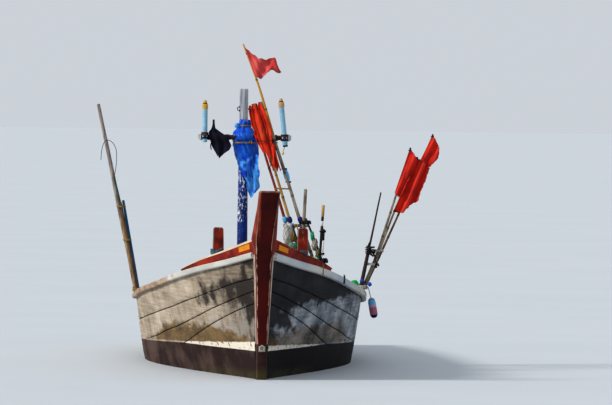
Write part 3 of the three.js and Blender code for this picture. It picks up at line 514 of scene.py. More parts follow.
def make_planking(f, port):
    """Weathered planks over the boot paint, with soot at the bow, weed over the boot top and a white line.
    The port side is darker all over: partly soot and dark paint, partly painted shade.
    """
    aft = f.y - STEM_HEAD[0]
    grain = f.noise(9, 5, stretch=(1, 0.16, 6), rough=0.7)
    patch = f.noise(3.2, 4, stretch=(1, 1, 1.6), shift=4.0 if port else 0.0)
    fine = f.noise(40, 3, stretch=(1, 0.25, 1))
    drips = f.noise(15, 3, stretch=(0.8, 1, 0.09), shift=2.0)
    if port:
        # On port the greys are darker and the soot mask grows towards the rail and the bow: partly real soot
        # and dark paint, partly painted shade of the side away from the sun.
        bare = f.tints(patch * 0.7 + grain * 0.35, (0.34, (58, 60, 66)), (0.5, (130, 136, 143)),
                       (0.66, (186, 189, 192)))
        black = f.noise(5.5, 5, stretch=(1, 0.6, 1.3), shift=11.0, rough=0.65) * 0.75 + patch * 0.25
        soot = aft.under(0.9, 1.0) * 0.24 + (f.z - 0.5) * 0.4 + f.z.over(0.6, 0.14) * 0.2 + black
        colour = f.mix(soot.over(0.62, 0.15) * 0.95, bare, paint(16, 15, 21))
    else:
        colour = f.tints(patch * 0.45 + grain * 0.4 + drips * 0.2, (0.33, (112, 98, 84)),
                         (0.5, (158, 144, 126)), (0.66, (196, 184, 166)))
        black = f.noise(4.5, 4, stretch=(1, 0.8, 1.2), shift=7.0)
        bow = aft.under(1.2, 1.5)
        level = f.z.over(0.52, 0.1) * f.z.under(0.8, 0.14)
        brown = f.between(grain, 0.3, (74, 62, 52), (112, 100, 88))
        colour = f.mix(bow * bow * 0.8, colour, brown)
        sooty = (bow * 0.5 + level * 0.24 + (black - 0.5) * 1.6).over(0.54, 0.26)
        colour = f.mix(sooty * 0.92, colour, paint(34, 28, 25))
        scraped = (f.noise(10, 4, stretch=(1, 1, 0.6), shift=3.0) + aft.under(1.5, 0.9) * 0.35
                   - (f.z - 0.38).least(0) * 1.1).over(0.78, 0.14)
        colour = f.mix(scraped * 0.6, colour, paint(150, 144, 136))
    streak = (drips - (f.z * 0.1)).over(0.6, 0.1)
    colour = f.mix(streak * 0.35, colour, paint(66, 56, 46))
    boot = 0.222 - (aft - 2.2).least(0) * 0.024
    above = f.z - boot
    ragged = (f.noise(14, 3, stretch=(1, 0.4, 1)) - 0.5) * 0.2
    weed_edge = 0.08 + aft.over(0.9, 1.0) * 0.09 - aft.over(2.9, 0.9) * 0.16
    weed = (above + ragged - weed_edge).under(0.0, 0.07) * above.over(0.01, 0.02) * aft.under(3.7, 0.9)
    weed_colour = f.mix((patch * 0.6 + fine * 0.4).over(0.5, 0.3), paint(58, 40, 12), paint(112, 84, 34))
    colour = f.mix(weed * (0.6 if port else 0.85), colour, weed_colour)
    band = (0.056 - aft * 0.024) if port else (0.092 - aft * 0.037)
    chipped = f.noise(22, 4).over(0.4, 0.14)
    line = above.over(0.0, 0.006) * (above - band - ragged * 0.12).under(0.0, 0.01) * band.over(0.01, 0.008)
    colour = f.mix(line * chipped * 0.9, colour, paint(226, 218, 202))
    caulked = f.noise(18, 3, stretch=(1, 0.4, 1), shift=5.0).over(0.5, 0.2)
    colour = f.mix(f.worn.over(0.5, 0.5) * (0.35 + caulked * 0.45), colour, paint(30, 25, 22))
    dull = (f.noise(3.4, 4, rough=0.6) - aft * 0.04).over(0.36, 0.34)
    red = f.mix(dull, paint(84, 64, 57), paint(40, 23, 20))
    if port:
        # On port the boot paint is near black: painted shade of the side away from the sun.
        red = f.between(grain, 0.2, (16, 8, 13), (9, 5, 8))
    slime = f.z.under(0.05, 0.08) * f.noise(5, 3).over(0.42, 0.2) * aft.under(1.8, 1.2)
    red = f.mix(slime * 0.55, red, paint(70, 66, 38))
    painted = (above - ragged * 0.04).under(0.0, 0.006)
    colour = f.mix(painted, colour, red)
    inside = f.between(grain, 0.3, (96, 84, 70), (146, 132, 112))
    inside = f.mix((patch - f.z * 0.4).over(0.4, 0.3) * 0.6, inside, paint(52, 46, 38))
    colour = f.mix(f.worn.under(-0.6, 0.2), colour, inside)
    return f.surface(colour, 0.82, grain * 0.6 + fine * 0.25 + drips * 0.2, rise=0.005, strength=0.75)


def make_red_timber(f, dark, light, bare, wear=0.5):
    """Old red-brown paint, rubbed through on the edges."""
    grain = f.noise(14, 5, stretch=(1, 1, 0.12), rough=0.7)
    cloud = f.noise(4, 3)
    colour = f.mix(cloud.over(0.5, 0.3), dark, light)
    chips = f.noise(30, 4, stretch=(1, 1, 0.35), shift=5.0)
    through = (f.worn * wear + chips).over(1.02, 0.12)
    colour = f.mix(through * 0.85, colour, bare)
    return f.surface(colour, 0.74, grain * 0.8 + chips * 0.3, rise=0.002, strength=0.6)


def make_stem(f, red):
    """Dark red paint on the stem's face, cream on its flanks, boot paint below, bare wood on the edges."""
    grain = f.noise(16, 5, stretch=(1, 1, 0.1), rough=0.7)
    cloud = f.noise(3.5, 3)
    chips = f.noise(26, 5, stretch=(1, 1, 0.3), shift=5.0, rough=0.65)
    face = f.mix(cloud.over(0.5, 0.35), red, paint(42, 4, 3))
    through = (f.worn * 0.8 + chips).over(1.2, 0.1) * f.z.under(1.3, 0.9)
    colour = f.mix(through * 0.8, face, paint(186, 152, 132))
    nose_y = STEM_HEAD[0] + STEM_HEAD[1] * STEM_RAKE
    run = f.y + f.z * STEM_RAKE - nose_y
    flank = (run + (chips - 0.5) * 0.03).over(0.03, 0.012) * f.z.under(0.985, 0.02)
    cream = f.between(chips, 0.2, (208, 192, 176), (160, 128, 112))
    colour = f.mix(flank * 0.85, colour, cream)
    # Above the rail the flanks are a lighter red than the face, as sunlit faces: painted light.
    lit_flank = (run - 0.02).over(0.0, 0.012) * f.z.over(0.985, 0.02)
    colour = f.mix(lit_flank * 0.6, colour, f.between(chips, 0.2, (150, 60, 46), (116, 44, 34)))
    foot = f.z.under(0.282, 0.008)
    boot = f.between(f.noise(9, 4), 0.3, (66, 40, 36), (44, 27, 25))
    boot = f.mix(f.z.under(0.07, 0.1) * 0.7, boot, paint(78, 74, 44))
    colour = f.mix(foot, colour, boot)
    # The starboard edge of the face is a lighter orange-red, like the sunlit flank beside it: painted light.
    edge = (f.x + 0.030).under(0.0, 0.004) * f.z.over(1.16, 0.2)
    colour = f.mix(edge * 0.75, colour, f.between(chips, 0.2, (150, 72, 48), (112, 44, 30)))
    head = (f.z - 1.472).over(0.0, 0.006)
    colour = f.mix(head * 0.8, colour, f.between(grain, 0.2, (150, 120, 104), (104, 70, 60)))
    return f.surface(colour, 0.78, grain * 0.8 + chips * 0.35, rise=0.0025, strength=0.7)


def make_rail(f, fresh, port):
    """White paint that wears to bare tan wood towards the stern."""
    aft = f.y - STEM_HEAD[0]
    chips = f.noise(16, 5, stretch=(1, 0.3, 1), rough=0.7)
    spots = f.noise(60, 3, stretch=(1, 0.4, 1))
    # On the port side the white is a cooler blue-grey: painted shade of the side away from the sun.
    white = f.mix(f.noise(5, 4, stretch=(1, 0.4, 1)).over(0.5, 0.3), fresh,
                  paint(176, 184, 194) if port else paint(180, 178, 170))
    wood = f.between(chips, 0.3, (132, 110, 92), (182, 158, 134))
    bare = (chips * 0.8 + aft.over(2.2, 2.2) * (0.2 if port else 0.5) + f.worn * 0.12).over(0.66, 0.16)
    colour = f.mix(bare, white, wood)
    rust = (spots * 0.6 + f.noise(7, 2, shift=9.0) * 0.4).over(0.66, 0.06)
    colour = f.mix(rust * 0.7, colour, paint(104, 66, 46))
    return f.surface(colour, 0.66, chips * 0.8 + spots * 0.3, rise=0.002)


def make_deck(f):
    """Bare boards with dirt in the grain."""
    grain = f.noise(14, 6, stretch=(0.2, 1, 1), rough=0.7)
    stain = f.noise(2.5, 4)
    colour = f.tints(grain * 0.6 + stain * 0.4, (0.3, (78, 68, 56)), (0.5, (124, 112, 94)),
                     (0.7, (160, 148, 128)))
    colour = f.mix((stain + f.worn * 0.3).over(0.62, 0.1) * 0.5, colour, paint(56, 48, 40))
    return f.surface(colour, 0.85, grain, rise=0.003, strength=0.7)


def make_mast(f, fresh):
    """Blue paint over grey wood: whole at the foot, flaking above, gone at the head."""
    flakes = f.noise(62, 4, stretch=(1, 1, 0.5), rough=0.6)
    broad = f.noise(9, 3, stretch=(1, 1, 0.4), shift=3.0)
    grain = f.noise(30, 5, stretch=(1, 1, 0.05), rough=0.7)
    wood = f.tints(grain * 0.8 + broad * 0.2, (0.38, (96, 104, 118)), (0.5, (158, 162, 170)),
                   (0.62, (196, 196, 196)))
    blue = f.mix(broad.over(0.5, 0.3), fresh, paint(22, 36, 84))
    rows = f.z.over(1.15, 0.3) * 0.12 + f.z.over(1.95, 0.12) * 0.6
    gone = (flakes * 0.75 + broad * 0.25 + rows).over(0.66, 0.04)
    chip = f.between(f.noise(70, 2), 0.2, (206, 210, 218), (140, 152, 180))
    bare = f.mix(f.z.over(1.95, 0.1), chip, wood)
    colour = f.mix(gone, blue, bare)
    return f.surface(colour, 0.6, grain * 0.6 - gone * 0.6, rise=0.0025, strength=0.7)


def make_bamboo(f, pale, dark, soot=0.0, top=None):
    """Dry cane, streaked along its length, darker at the knots. top is the grey of a weathered upper end."""
    streak = f.noise(60, 4, stretch=(1, 1, 0.06), rough=0.7)
    cloud = f.noise(5, 3)
    colour = f.mix((streak * 0.6 + cloud * 0.4).over(0.5, 0.3), pale, dark)
    if top:
        upper = (f.z + cloud * 0.4).over(2.1, 0.3) * 0.9
        colour = f.mix(upper, colour, f.mix(streak, top, darker(top, 0.5)))
    colour = f.mix(f.worn.over(0.5, 0.5) * 0.75, colour, darker(dark, 0.3))
    if soot:
        colour = f.mix(f.noise(7, 4, shift=6.0).over(0.56, 0.12) * soot, colour, paint(40, 34, 32))
    return f.surface(colour, 0.55, streak, rise=0.0015, strength=0.5)


def make_pole_wood(f):
    """A barked pole: grey above, brown and stained towards the foot."""
    streak = f.noise(50, 5, stretch=(1, 1, 0.07), rough=0.7)
    cloud = f.noise(6, 4, stretch=(1, 1, 0.5))
    grey = f.between(streak, 0.3, (112, 102, 98), (164, 152, 142))
    brown = f.between(streak, 0.3, (104, 82, 60), (166, 140, 106))
    colour = f.mix((f.z + cloud * 0.5).over(1.5, 0.5), brown, grey)
    colour = f.mix(cloud.over(0.6, 0.1) * 0.6, colour, paint(84, 66, 54))
    return f.surface(colour, 0.8, streak * 0.7 + cloud * 0.3, rise=0.002, strength=0.6)


def make_cloth(f, face, shade, fade=None, torn=0.0):
    """Thin woven cloth with faded and dirty places."""
    warp = f.waves(620, 0.3, "Z")
    weft = f.waves(620, 0.3, "X")
    cloud = f.noise(7, 4)
    colour = f.mix(cloud.over(0.5, 0.35), face, shade)
    if fade:
        colour = f.mix(f.noise(3.5, 3, shift=8.0).over(0.55, 0.2) * 0.6, colour, fade)
    if torn:
        colour = f.mix(f.worn.over(0.6, 0.5) * torn, colour, darker(shade, 0.16))
    return f.surface(colour, 0.8, warp * 0.5 + weft * 0.5, rise=0.0006, strength=0.4, sheen_weight=0.15)


def make_film(f, face, pale, alpha):
    """Thin crumpled plastic that lets some light through."""
    folds = f.noise(16, 5, stretch=(1, 1, 0.7), rough=0.6)
    creases = f.cells(22, (1, 1, 0.6))
    colour = f.mix((folds + creases * 0.3).over(0.62, 0.2), face, pale)
    return f.surface(colour, 0.28, folds * 0.7 + creases * 0.5, rise=0.012, strength=0.8,
                     alpha=alpha, transmission_weight=0.12)


def make_film_end(f):
    """The thinner end of the film, darker towards its foot."""
    face = f.mix(f.z.under(1.56, 0.06), paint(8, 62, 190), paint(18, 118, 232))
    return make_film(f, face, paint(84, 172, 248), 0.86)


def make_plastic(f, face, rough=0.4, dirt=0.3):
    """Moulded plastic or foam, scuffed and dirty."""
    cloud = f.noise(9, 4)
    scuffs = f.noise(70, 4, stretch=(1, 1, 0.3))
    grime = f.mix(cloud.over(0.5, 0.3) * dirt, face, darker(face, 0.45))
    colour = f.mix(scuffs.over(0.62, 0.1) * 0.25, grime, tuple(min(c * 1.5 + 0.05, 1) for c in face))
    return f.surface(colour, rough, scuffs * 0.4 + cloud * 0.3, rise=0.001, strength=0.4)


def make_rope(f, face):
    fibres = f.noise(300, 2, stretch=(1, 1, 1))
    colour = f.mix(fibres.over(0.5, 0.4), face, darker(face, 0.5))
    colour = f.mix(f.noise(12, 3).over(0.56, 0.2) * 0.5, colour, darker(face, 0.35))
    return f.surface(colour, 0.85, fibres, rise=0.0006)


def make_metal(f, face, rough, metallic, rust=0.0):
    """Cast or rolled metal with scuffs, oil and rust."""
    cloud = f.noise(8, 4)
    fine = f.noise(120, 3)
    colour = f.mix(cloud.over(0.5, 0.4) * 0.5, face, darker(face, 0.45))
    rusty = (f.noise(11, 6, rough=0.7) + fine * 0.15).over(0.62, 0.1) * rust
    colour = f.mix(rusty, colour, f.between(fine, 0.3, (110, 58, 32), (66, 38, 26)))
    dull = (rusty * 0.3 + (cloud * 0.25 + rough)).upto(0.95)
    return f.surface(colour, dull, fine * 0.4 + cloud * 0.4 + rusty * 0.4, rise=0.0012, strength=0.5,
                     metallic=(1 - rusty) * metallic)


def make_floor(f):
    cloud = f.noise(0.4, 3)
    return f.surface(f.mix(cloud, paint(192, 198, 203), paint(201, 206, 210)), 0.75)


FINISH_TABLE = {
    # name: its maker and the maker's values, with colours of 0 to 255 and users' colours by their names
    "planks_port": (make_planking, True),
    "planks_starboard": (make_planking, False),
    "stem_paint": (make_stem, "stem_red"),
    "rail_port": (make_rail, "rail_white", True),
    "rail_starboard": (make_rail, "rail_white", False),
    "washboard_red": (make_red_timber, (96, 18, 12), (150, 44, 26), (190, 150, 120), 0.35),
    "bitt_red": (make_red_timber, (60, 16, 14), (158, 50, 26), (128, 128, 108), 0.7),
    "cream_line": (make_red_timber, (226, 206, 176), (204, 182, 150), (120, 60, 44)),
    "yellow_patch": (make_red_timber, (226, 150, 24), (198, 122, 20), (128, 60, 40)),
    "boards": (make_deck,),
    "mast_paint": (make_mast, "mast_blue"),
    "cane": (make_bamboo, (186, 150, 84), (132, 98, 52)),
    "cane_grey": (make_bamboo, (158, 146, 128), (112, 98, 84), 0.5),
    "cane_red": (make_bamboo, (156, 62, 40), (104, 44, 34), 0.3),
    "cane_brown": (make_bamboo, (116, 88, 66), (72, 54, 44), 0.5),
    "cane_two_tone": (make_bamboo, (146, 136, 124), (104, 88, 74), 0.0, (216, 162, 62)),
    "cane_dark": (make_bamboo, (62, 46, 40), (38, 30, 30), 0.4),
    "pole_wood": (make_pole_wood,),
    "flag_red": (make_cloth, "flag_red", (170, 34, 26), None, 0.8),
    "flag_orange": (make_cloth, (218, 50, 12), (164, 28, 10), (230, 84, 36), 0.8),
    "flag_faded": (make_cloth, (204, 78, 74), (176, 46, 46), (214, 118, 112), 0.85),
    "navy_cloth": (make_cloth, (16, 13, 46), (8, 7, 28)),
    "film": (make_film, "film_blue", (24, 98, 204), 0.96),
    "film_pale": (make_film_end,),
    "lamp_blue": (make_plastic, (140, 184, 206), 0.35),
    "lamp_cap": (make_plastic, (206, 164, 62), 0.4, 0.5),
    "lamp_cap_tan": (make_plastic, (196, 158, 116), 0.4, 0.5),
    "white_plastic": (make_plastic, (208, 210, 212), 0.45, 0.5),
    "navy_float": (make_plastic, (28, 36, 104), 0.45),
    "lilac_float": (make_plastic, (170, 160, 196), 0.5),
    "black_plastic": (make_plastic, (26, 26, 30), 0.45, 0.2),
    "red_plastic": (make_plastic, (150, 30, 34), 0.4),
    "yellow_plastic": (make_plastic, (226, 196, 60), 0.4),
    "blue_float": (make_plastic, (40, 76, 166), 0.45),
    "sky_float": (make_plastic, (92, 178, 226), 0.45),
    "green_float": (make_plastic, (24, 180, 88), 0.5),
    "pink_float": (make_plastic, (176, 110, 124), 0.5),
    "pipe_blue": (make_plastic, (36, 112, 158), 0.4, 0.4),
    "pipe_green": (make_plastic, (34, 74, 66), 0.45, 0.4),
    "tank_red": (make_plastic, (170, 34, 28), 0.3),
    "net_white": (make_rope, (214, 214, 208)),
    "net_brown": (make_rope, (124, 104, 60)),
    "net_green": (make_rope, (60, 176, 120)),
    "rope_blue": (make_rope, (84, 118, 140)),
    "rope_tan": (make_rope, (168, 140, 92)),
    "rope_dark": (make_rope, (46, 44, 48)),
    "rope_pale": (make_rope, (196, 196, 190)),
    "rusty_steel": (make_metal, (120, 122, 124), 0.45, 0.8, 0.85),
    "tube_metal": (make_metal, (164, 166, 168), 0.35, 0.9, 0.3),
    "engine_metal": (make_metal, (104, 106, 110), 0.5, 0.7, 0.25),
    "engine_black": (make_metal, (34, 34, 36), 0.5, 0.4, 0.2),
    "bronze": (make_metal, (178, 138, 74), 0.35, 0.95, 0.0),
    "nail_rust": (make_metal, (52, 36, 30), 0.7, 0.3, 0.8),
    "eye_metal": (make_metal, (168, 164, 152), 0.7, 0.2, 0.55),
    "floor_pale": (make_floor,),
}


# Settings that a user can change


class LongtailSizes(bpy.types.PropertyGroup):
    """Sizes of the looks that stand on the solid boat."""

    seam_gap: FloatProperty(name="Seam gap", description="Open width of a seam between planks",
                            default=0.003, unit="LENGTH")
    seam_chamfer: FloatProperty(name="Seam chamfer", description="Worn width of each plank edge at a seam",
                                default=0.005, unit="LENGTH")
    nail_radius: FloatProperty(name="Nail radius", description="Radius of a nail head in the planking",
                               default=0.0045, unit="LENGTH")
    rope_radius: FloatProperty(name="Rope radius", description="Radius of the rope's turns on the bitts",
                               default=0.008, unit="LENGTH")
    stations: IntProperty(name="Stations", description="Sections along each plank", default=110, min=30)
    camera_distance: FloatProperty(name="Camera distance", description="Distance from the stem head",
                                   default=45.0, unit="LENGTH")


class LongtailPaint(bpy.types.PropertyGroup):
    """Paint and cloth colours."""

    stem_red: FloatVectorProperty(name="Stem", description="Old paint of the stem post", subtype="COLOR",
                                  default=paint(74, 8, 6))
    rail_white: FloatVectorProperty(name="Rail", description="Paint of the rub rails", subtype="COLOR",
                                    default=paint(202, 201, 194))
    mast_blue: FloatVectorProperty(name="Mast", description="Paint of the mast", subtype="COLOR",
                                   default=paint(20, 50, 126))
    flag_red: FloatVectorProperty(name="Flags", description="Cloth of the marker flags", subtype="COLOR",
                                  default=paint(214, 44, 20))
    film_blue: FloatVectorProperty(name="Film", description="Plastic film round the mast", subtype="COLOR",
                                   default=paint(14, 70, 204))


# Hull


SEAMS = (
    # share of the length, heights of the low, middle and high seam
    (0.00, 0.600, 0.700, 0.800), (0.05, 0.525, 0.625, 0.745), (0.10, 0.440, 0.550, 0.676),
    (0.155, 0.345, 0.468, 0.612), (0.21, 0.252, 0.396, 0.558), (0.25, 0.200, 0.350, 0.515),
    (0.30, 0.150, 0.306, 0.474), (0.36, 0.105, 0.245, 0.428), (0.45, 0.062, 0.190, 0.372),
    (0.55, 0.030, 0.150, 0.330), (0.70, 0.010, 0.135, 0.290), (0.80, 0.030, 0.150, 0.280),
    (0.90, 0.060, 0.180, 0.305), (1.00, 0.090, 0.205, 0.335),
)


def plank_lines(share):
    """The heights of the plank edges at a share of the length, from the keel up."""
    keel = read("keel_z", share)
    _, low, middle, high = along_table(SEAMS, share)
    return [keel, keel * 0.7, keel * 0.28, low, middle, high, read("sheer_z", share)]


def seam_shows(z):
    """How open a seam is: the boot paint fills it."""
    return 0.12 + 0.88 * min(max((z - 0.2) / 0.04, 0), 1)


STRAKES = ("garboard", "bilge_strake", "side_strake", "sheer_strake")
PLANK_BUTTS = {
    # side: for each plank from the keel up, the shares at which it is butted
    "starboard": ((0.5,), (0.32, 0.7), (0.45, 0.8), (0.6,), (0.35, 0.75), (0.345, 0.68)),
    "port": ((0.45,), (0.38, 0.75), (0.5, 0.82), (0.44,), (0.6,), (0.41, 0.72)),
}


def plank_rings(row, shares, side, sizes):
    """Sections of one plank: its outer face with worn edges, then its inner face."""
    rows_across = 9
    rings = []
    for share in shares:
        lines = plank_lines(share)
        gap = sizes.seam_gap / 2
        low_shows, high_shows = seam_shows(lines[row]), seam_shows(lines[row + 1])
        low = lines[row] + (gap * low_shows if row else 0.0003)
        high = lines[row + 1] - (gap * high_shows if row < 5 else 0)
        chamfer = sizes.seam_chamfer
        proud = jitter((row, side, share * 3), 1.3, 0.0035, 2.0)
        outer = []
        heights = [low, low + chamfer * 0.5, low + chamfer]
        flat = high - low - chamfer * 2
        heights += [low + chamfer + flat * k / (rows_across - 1) for k in range(1, rows_across - 1)]
        heights += [high - chamfer, high - chamfer * 0.5, high]
        for k, z in enumerate(heights):
            point = skin(share, z)
            normal = skin_normal(share, z)
            edge = {0: 0.007 * low_shows, 1: 0.002 * low_shows, len(heights) - 1: 0.007 * high_shows,
                    len(heights) - 2: 0.002 * high_shows}.get(k, 0)
            dent = jitter(point, 5.0, 0.0016, row * 1.7 + side)
            outer.append(side_point(point + normal * (proud + dent - edge), side))
        inner = [side_point(skin(share, z) - skin_normal(share, z) * PLANK, side) for z in (high, low)]
        rings.append(outer + inner)
    return rings


def build_planking(sizes):
    # worn at the two edges of the outer face, and -1 for the two points of the face inside the boat
    rows_worn = [1.0, 0.75] + [0.0] * 9 + [0.75, 1.0] + [-1.0, -1.0]
    for side, sign in SIDES:
        planks = Shape()
        for row, butts in enumerate(PLANK_BUTTS[side]):
            stops = [0.0, *butts, 1.0]
            for start, end in zip(stops, stops[1:]):
                start += BUTT_GAP if start else 0
                end -= BUTT_GAP if end < 1 else 0
                count = max(int((end - start) * sizes.stations), 8)
                shares = spread(start, end - start, count)
                planks.loft(plank_rings(row, shares, sign, sizes), worn=rows_worn)
        nodes = [f"{name}_{end}_{side}" for name in STRAKES for end in ("fore", "aft")]
        planks.piece(f"planks_{side}", f"planks_{side}", slot="plank_wood", stands_for=nodes,
                     sharp=50)
        build_nails(side, sign, sizes)


FRAME_SPACING = 0.0485
NAILED_ROWS = (2, 3, 4, 5)


def build_nails(side, sign, sizes):
    """Nail heads in pairs where each plank crosses a frame."""
    draw = random.Random(11 if sign > 0 else 5)
    nails = Shape()
    for row in NAILED_ROWS:
        for frame_place in range(1, 21):
            share = frame_place * FRAME_SPACING
            lines = plank_lines(share)
            for edge in (lines[row] + 0.032, lines[row + 1] - 0.034):
                if draw.random() < 0.35 or edge < 0.0:
                    continue
                at = share + draw.uniform(-0.0022, 0.0022)
                z = edge + draw.uniform(-0.006, 0.006)
                normal = skin_normal(at, z)
                nails.stud(side_point(skin(at, z) + normal * 0.001, sign), side_point(normal, sign),
                           sizes.nail_radius * draw.uniform(0.7, 1.2), 0.0015)
    nails.piece(f"nails_{side}", "nail_rust", slot="steel")


STEM_TABLE = (
    # height, width of the front face, width of the aft face
    (-0.33, 0.066, 0.070), (-0.25, 0.070, 0.072), (-0.175, 0.072, 0.076), (-0.07, 0.074, 0.080),
    (0.0, 0.076, 0.084), (0.25, 0.080, 0.092), (0.78, 0.106, 0.140), (0.99, 0.128, 0.162),
    (1.11, 0.134, 0.196), (1.35, 0.149, 0.166), (1.485, 0.160, 0.164),
)
# The old post leans to port at its head: height, distance to port
STEM_ASIDE = ((-0.33, 0.0), (1.11, 0.0), (1.35, 0.024), (1.485, 0.037))


def stem_section(z, inset=0.0):
    """A level section of the stem, with chamfered and worn edges."""
    _, front, back = along_table(STEM_TABLE, z)
    aft = stem_back_y(max(z, -0.25))
    fore = aft - (STEM_DEPTH if z >= -0.25 else 0.075)
    knee = max(front, back) / 2
    aside = along_table(STEM_ASIDE, z)[1]
    face = fore + inset
    half = [
        (0.0, face, 0.0), (front / 4, face, 0.0), (front / 2 - 0.016, face, 0.25),
        (front / 2 - 0.007, face, 0.8), (front / 2, fore + 0.007, 1.0), (front / 2, fore + 0.016, 0.4),
        ((front / 2 + knee) / 2, (fore * 3 + aft) / 4, 0.0), (knee, (fore + aft) / 2, 0.0),
        (back / 2, aft - 0.012, 0.2), (back / 2 - 0.006, aft, 0.6), (0.0, aft, 0.0),
    ]
    ring = half + [(-x, y, worn) for x, y, worn in half[-2:0:-1]]
    points = []
    for x, y, worn in ring:
        if abs(x) > inset:
            x -= math.copysign(inset, x)
        dent = worn * (0.0022 + jitter((x, y, z), 12, 0.003))
        across = x - math.copysign(dent, x) if x else x
        points.append(Vector((across + aside, y + (dent if y < fore + 0.03 else 0), z)))
    return points, [worn for *_, worn in ring]


def build_stem():
    stem = Shape()
    rings = [stem_section(z) for z in spread(-0.33, 1.807, 74)]
    points = [ring for ring, _ in rings]
    points += [stem_section(1.4825, 0.004)[0], stem_section(1.485, 0.012)[0]]
    stem.loft(points, worn=rings[0][1])
    stem.piece("stem", "stem_paint", slot="stem_wood", stands_for=("stem_post",), sharp=30)
    eye = Shape()
    z = 0.25
    y = stem_back_y(z) - STEM_DEPTH
    eye.box((-0.026, y - 0.005, z - 0.028), (0.026, y + 0.003, z + 0.028), 0.004)
    for offset in (-0.022, 0.022):
        eye.stud((0, y - 0.006, z + offset), (0, -1, 0), 0.006, 0.004)
    ring = [(0.019 * math.cos(t), y - 0.012 + 0.005 * math.sin(t), z + 0.019 * math.sin(t))
            for t in angles(18, 1)]
    eye.tube(ring, 0.0055, 8)
    eye.piece("towing_eye", "eye_metal", slot="steel")


def rounded_rail(profile, round_by):
    """A profile with each corner cut to three points, and how worn each point is."""
    out, worn = [], []
    for k, corner in enumerate(profile):
        before, after = Vector(profile[k - 1]), Vector(profile[(k + 1) % len(profile)])
        here = Vector(corner)
        a = here + (before - here).normalized() * round_by
        b = here + (after - here).normalized() * round_by
        out += [a, (a + b + here) / 3, b]
        worn += [0.3, 0.9, 0.3]
    return out, worn


def rail_run(shape, profile, shares, sign, round_by=0.005, wander=0.0012):
    """A length of rail or cap along the sheer, with rounded corners that wander a little."""
    points, worn = rounded_rail(profile, round_by)
    rings = []
    for share in shares:
        ring = []
        for out, lift in points:
            place = side_point(near_sheer(share, out, lift), sign)
            ring.append(place + Vector((jitter(place, 4, wander, 1), 0, jitter(place, 4, wander, 2))))
        rings.append(ring)
    shape.loft(rings, worn=worn)


RAIL_SECTION = {
    # side: how far the rail stands out, and its depth
    "starboard": (0.032, 0.036),
    "port": (0.041, 0.048),
}
RAIL_BOLT_SPACING = 0.0385
CAP_PROFILE = ((0.0275, 0.0006), (0.0260, 0.0136), (-0.0800, 0.0140), (-0.0800, 0.0006))


def build_rails(sizes):
    for side, sign in SIDES:
        rail = Shape()
        cap = Shape()
        reach, deep = RAIL_SECTION[side]
        profile = ((0.0018, -deep), (reach - 0.004, 0.004 - deep), (reach, -0.0040),
                   (reach - 0.0002, -0.0010), (0.0018, -0.0008))
        stops = (0.0, 0.27, 0.62, 1.0) if sign < 0 else (0.0, 0.31, 0.66, 1.0)
        for start, end in zip(stops, stops[1:]):
            count = max(int((end - start) * sizes.stations), 8)
            gap = BUTT_GAP if end < 1 else 0
            shares = spread(start, end - gap - start, count)
            rail_run(rail, profile, shares, sign)
            rail_run(cap, CAP_PROFILE, shares, sign, 0.004, 0.0008)
        painted = f"rail_{side}"
        rail.piece(f"rub_rail_run_{side}", painted, slot="rail_wood", stands_for=(f"rub_rail_{side}",))
        cap.piece(f"rail_cap_{side}", painted, slot="rail_wood")
        bolts = Shape()
        for k in range(1, 26):
            share = k * RAIL_BOLT_SPACING
            normal = skin_normal(share, read("sheer_z", share))
            normal.z = 0
            place = near_sheer(share, reach - 0.002, -0.020)
            bolts.stud(side_point(place, sign), side_point(normal, sign), 0.0045, 0.002)
        bolts.piece(f"rail_bolts_{side}", painted, slot="steel")
        build_washboard(side, sign)
    marks = Shape()
    for share, wide, low, high in ((0.128, 0.006, -0.048, 0.030), (0.222, 0.005, -0.050, 0.026),
                                   (0.226, 0.004, -0.044, 0.02)):
        rings = []
        for out in (0.038, 0.045):
            rings.append([near_sheer(share + s * wide / 7, out, lift) for s, lift in
                          ((-1, low), (1, low), (1, high), (-1, high))])
        marks.mark = 0 if share < 0.2 else 1
        marks.loft(rings)
    marks.piece("rail_cleats_port", ("rope_tan", "cane_dark"), slot="rail_wood")


WASHBOARD_FOOT = 0.0145
WASHBOARD_ENDS = {"starboard": 0.188, "port": 0.172}


def washboard_height(share):
    """The board's height, which falls from the stem aft."""
    return 0.014 + 0.081 * (1 - min(share / WASHBOARD_ENDS["starboard"], 1)) ** 0.9


def build_washboard(side, sign):
    """A washboard by the stem: its board, the painted line along its top and its yellow patch."""
    board = Shape()
    line = Shape()
    patch = Shape()
    shares = spread(0, WASHBOARD_ENDS[side], 44)

    def corner(share, out, lift):
        return side_point(near_sheer(share, out, WASHBOARD_FOOT + lift * washboard_height(share)), sign)

    def ring(share, low, high, inner, outer):
        corners = ((outer(low), low), (outer(high), high), (inner, high), (inner, low))
        return [corner(share, out, lift) for out, lift in corners]

    def face(lift):
        return 0.012 + 0.010 * lift

    def edge_face(lift):
        return face(lift) + 0.003

    board.loft([ring(share, 0.0, 0.86, -0.012, face) for share in shares], worn=[0.5, 1.0, 0.6, 0.2])
    line.loft([ring(share, 0.875, 1.06, -0.014, edge_face) for share in shares], worn=[0.4, 0.7, 0.7, 0.2])
    patch_shares = spread(0.006 if sign < 0 else 0.010, 0.023, 6)
    corners = [(face(lift) + off, lift) for lift, off in
               ((0.31, 0.0004), (0.31, 0.003), (0.78, 0.003), (0.78, 0.0004))]
    patch.loft([[corner(share, out, lift) for out, lift in corners] for share in patch_shares])
    board.piece(f"washboard_{side}_board", "washboard_red", slot="washboard_wood",
                stands_for=(f"washboard_{side}",))
    line.piece(f"washboard_{side}_edge", "cream_line" if side == "starboard" else "bitt_red",
               slot="washboard_wood")
    patch.piece(f"washboard_{side}_patch", "yellow_patch", slot="washboard_wood")


# Inside the hull


DECK_THICK = 0.026
BULKHEAD_THICK = 0.024


def foredeck_top(y):
    return 0.930 - 0.135 * (y - STEM_HEAD[0] - 0.3)


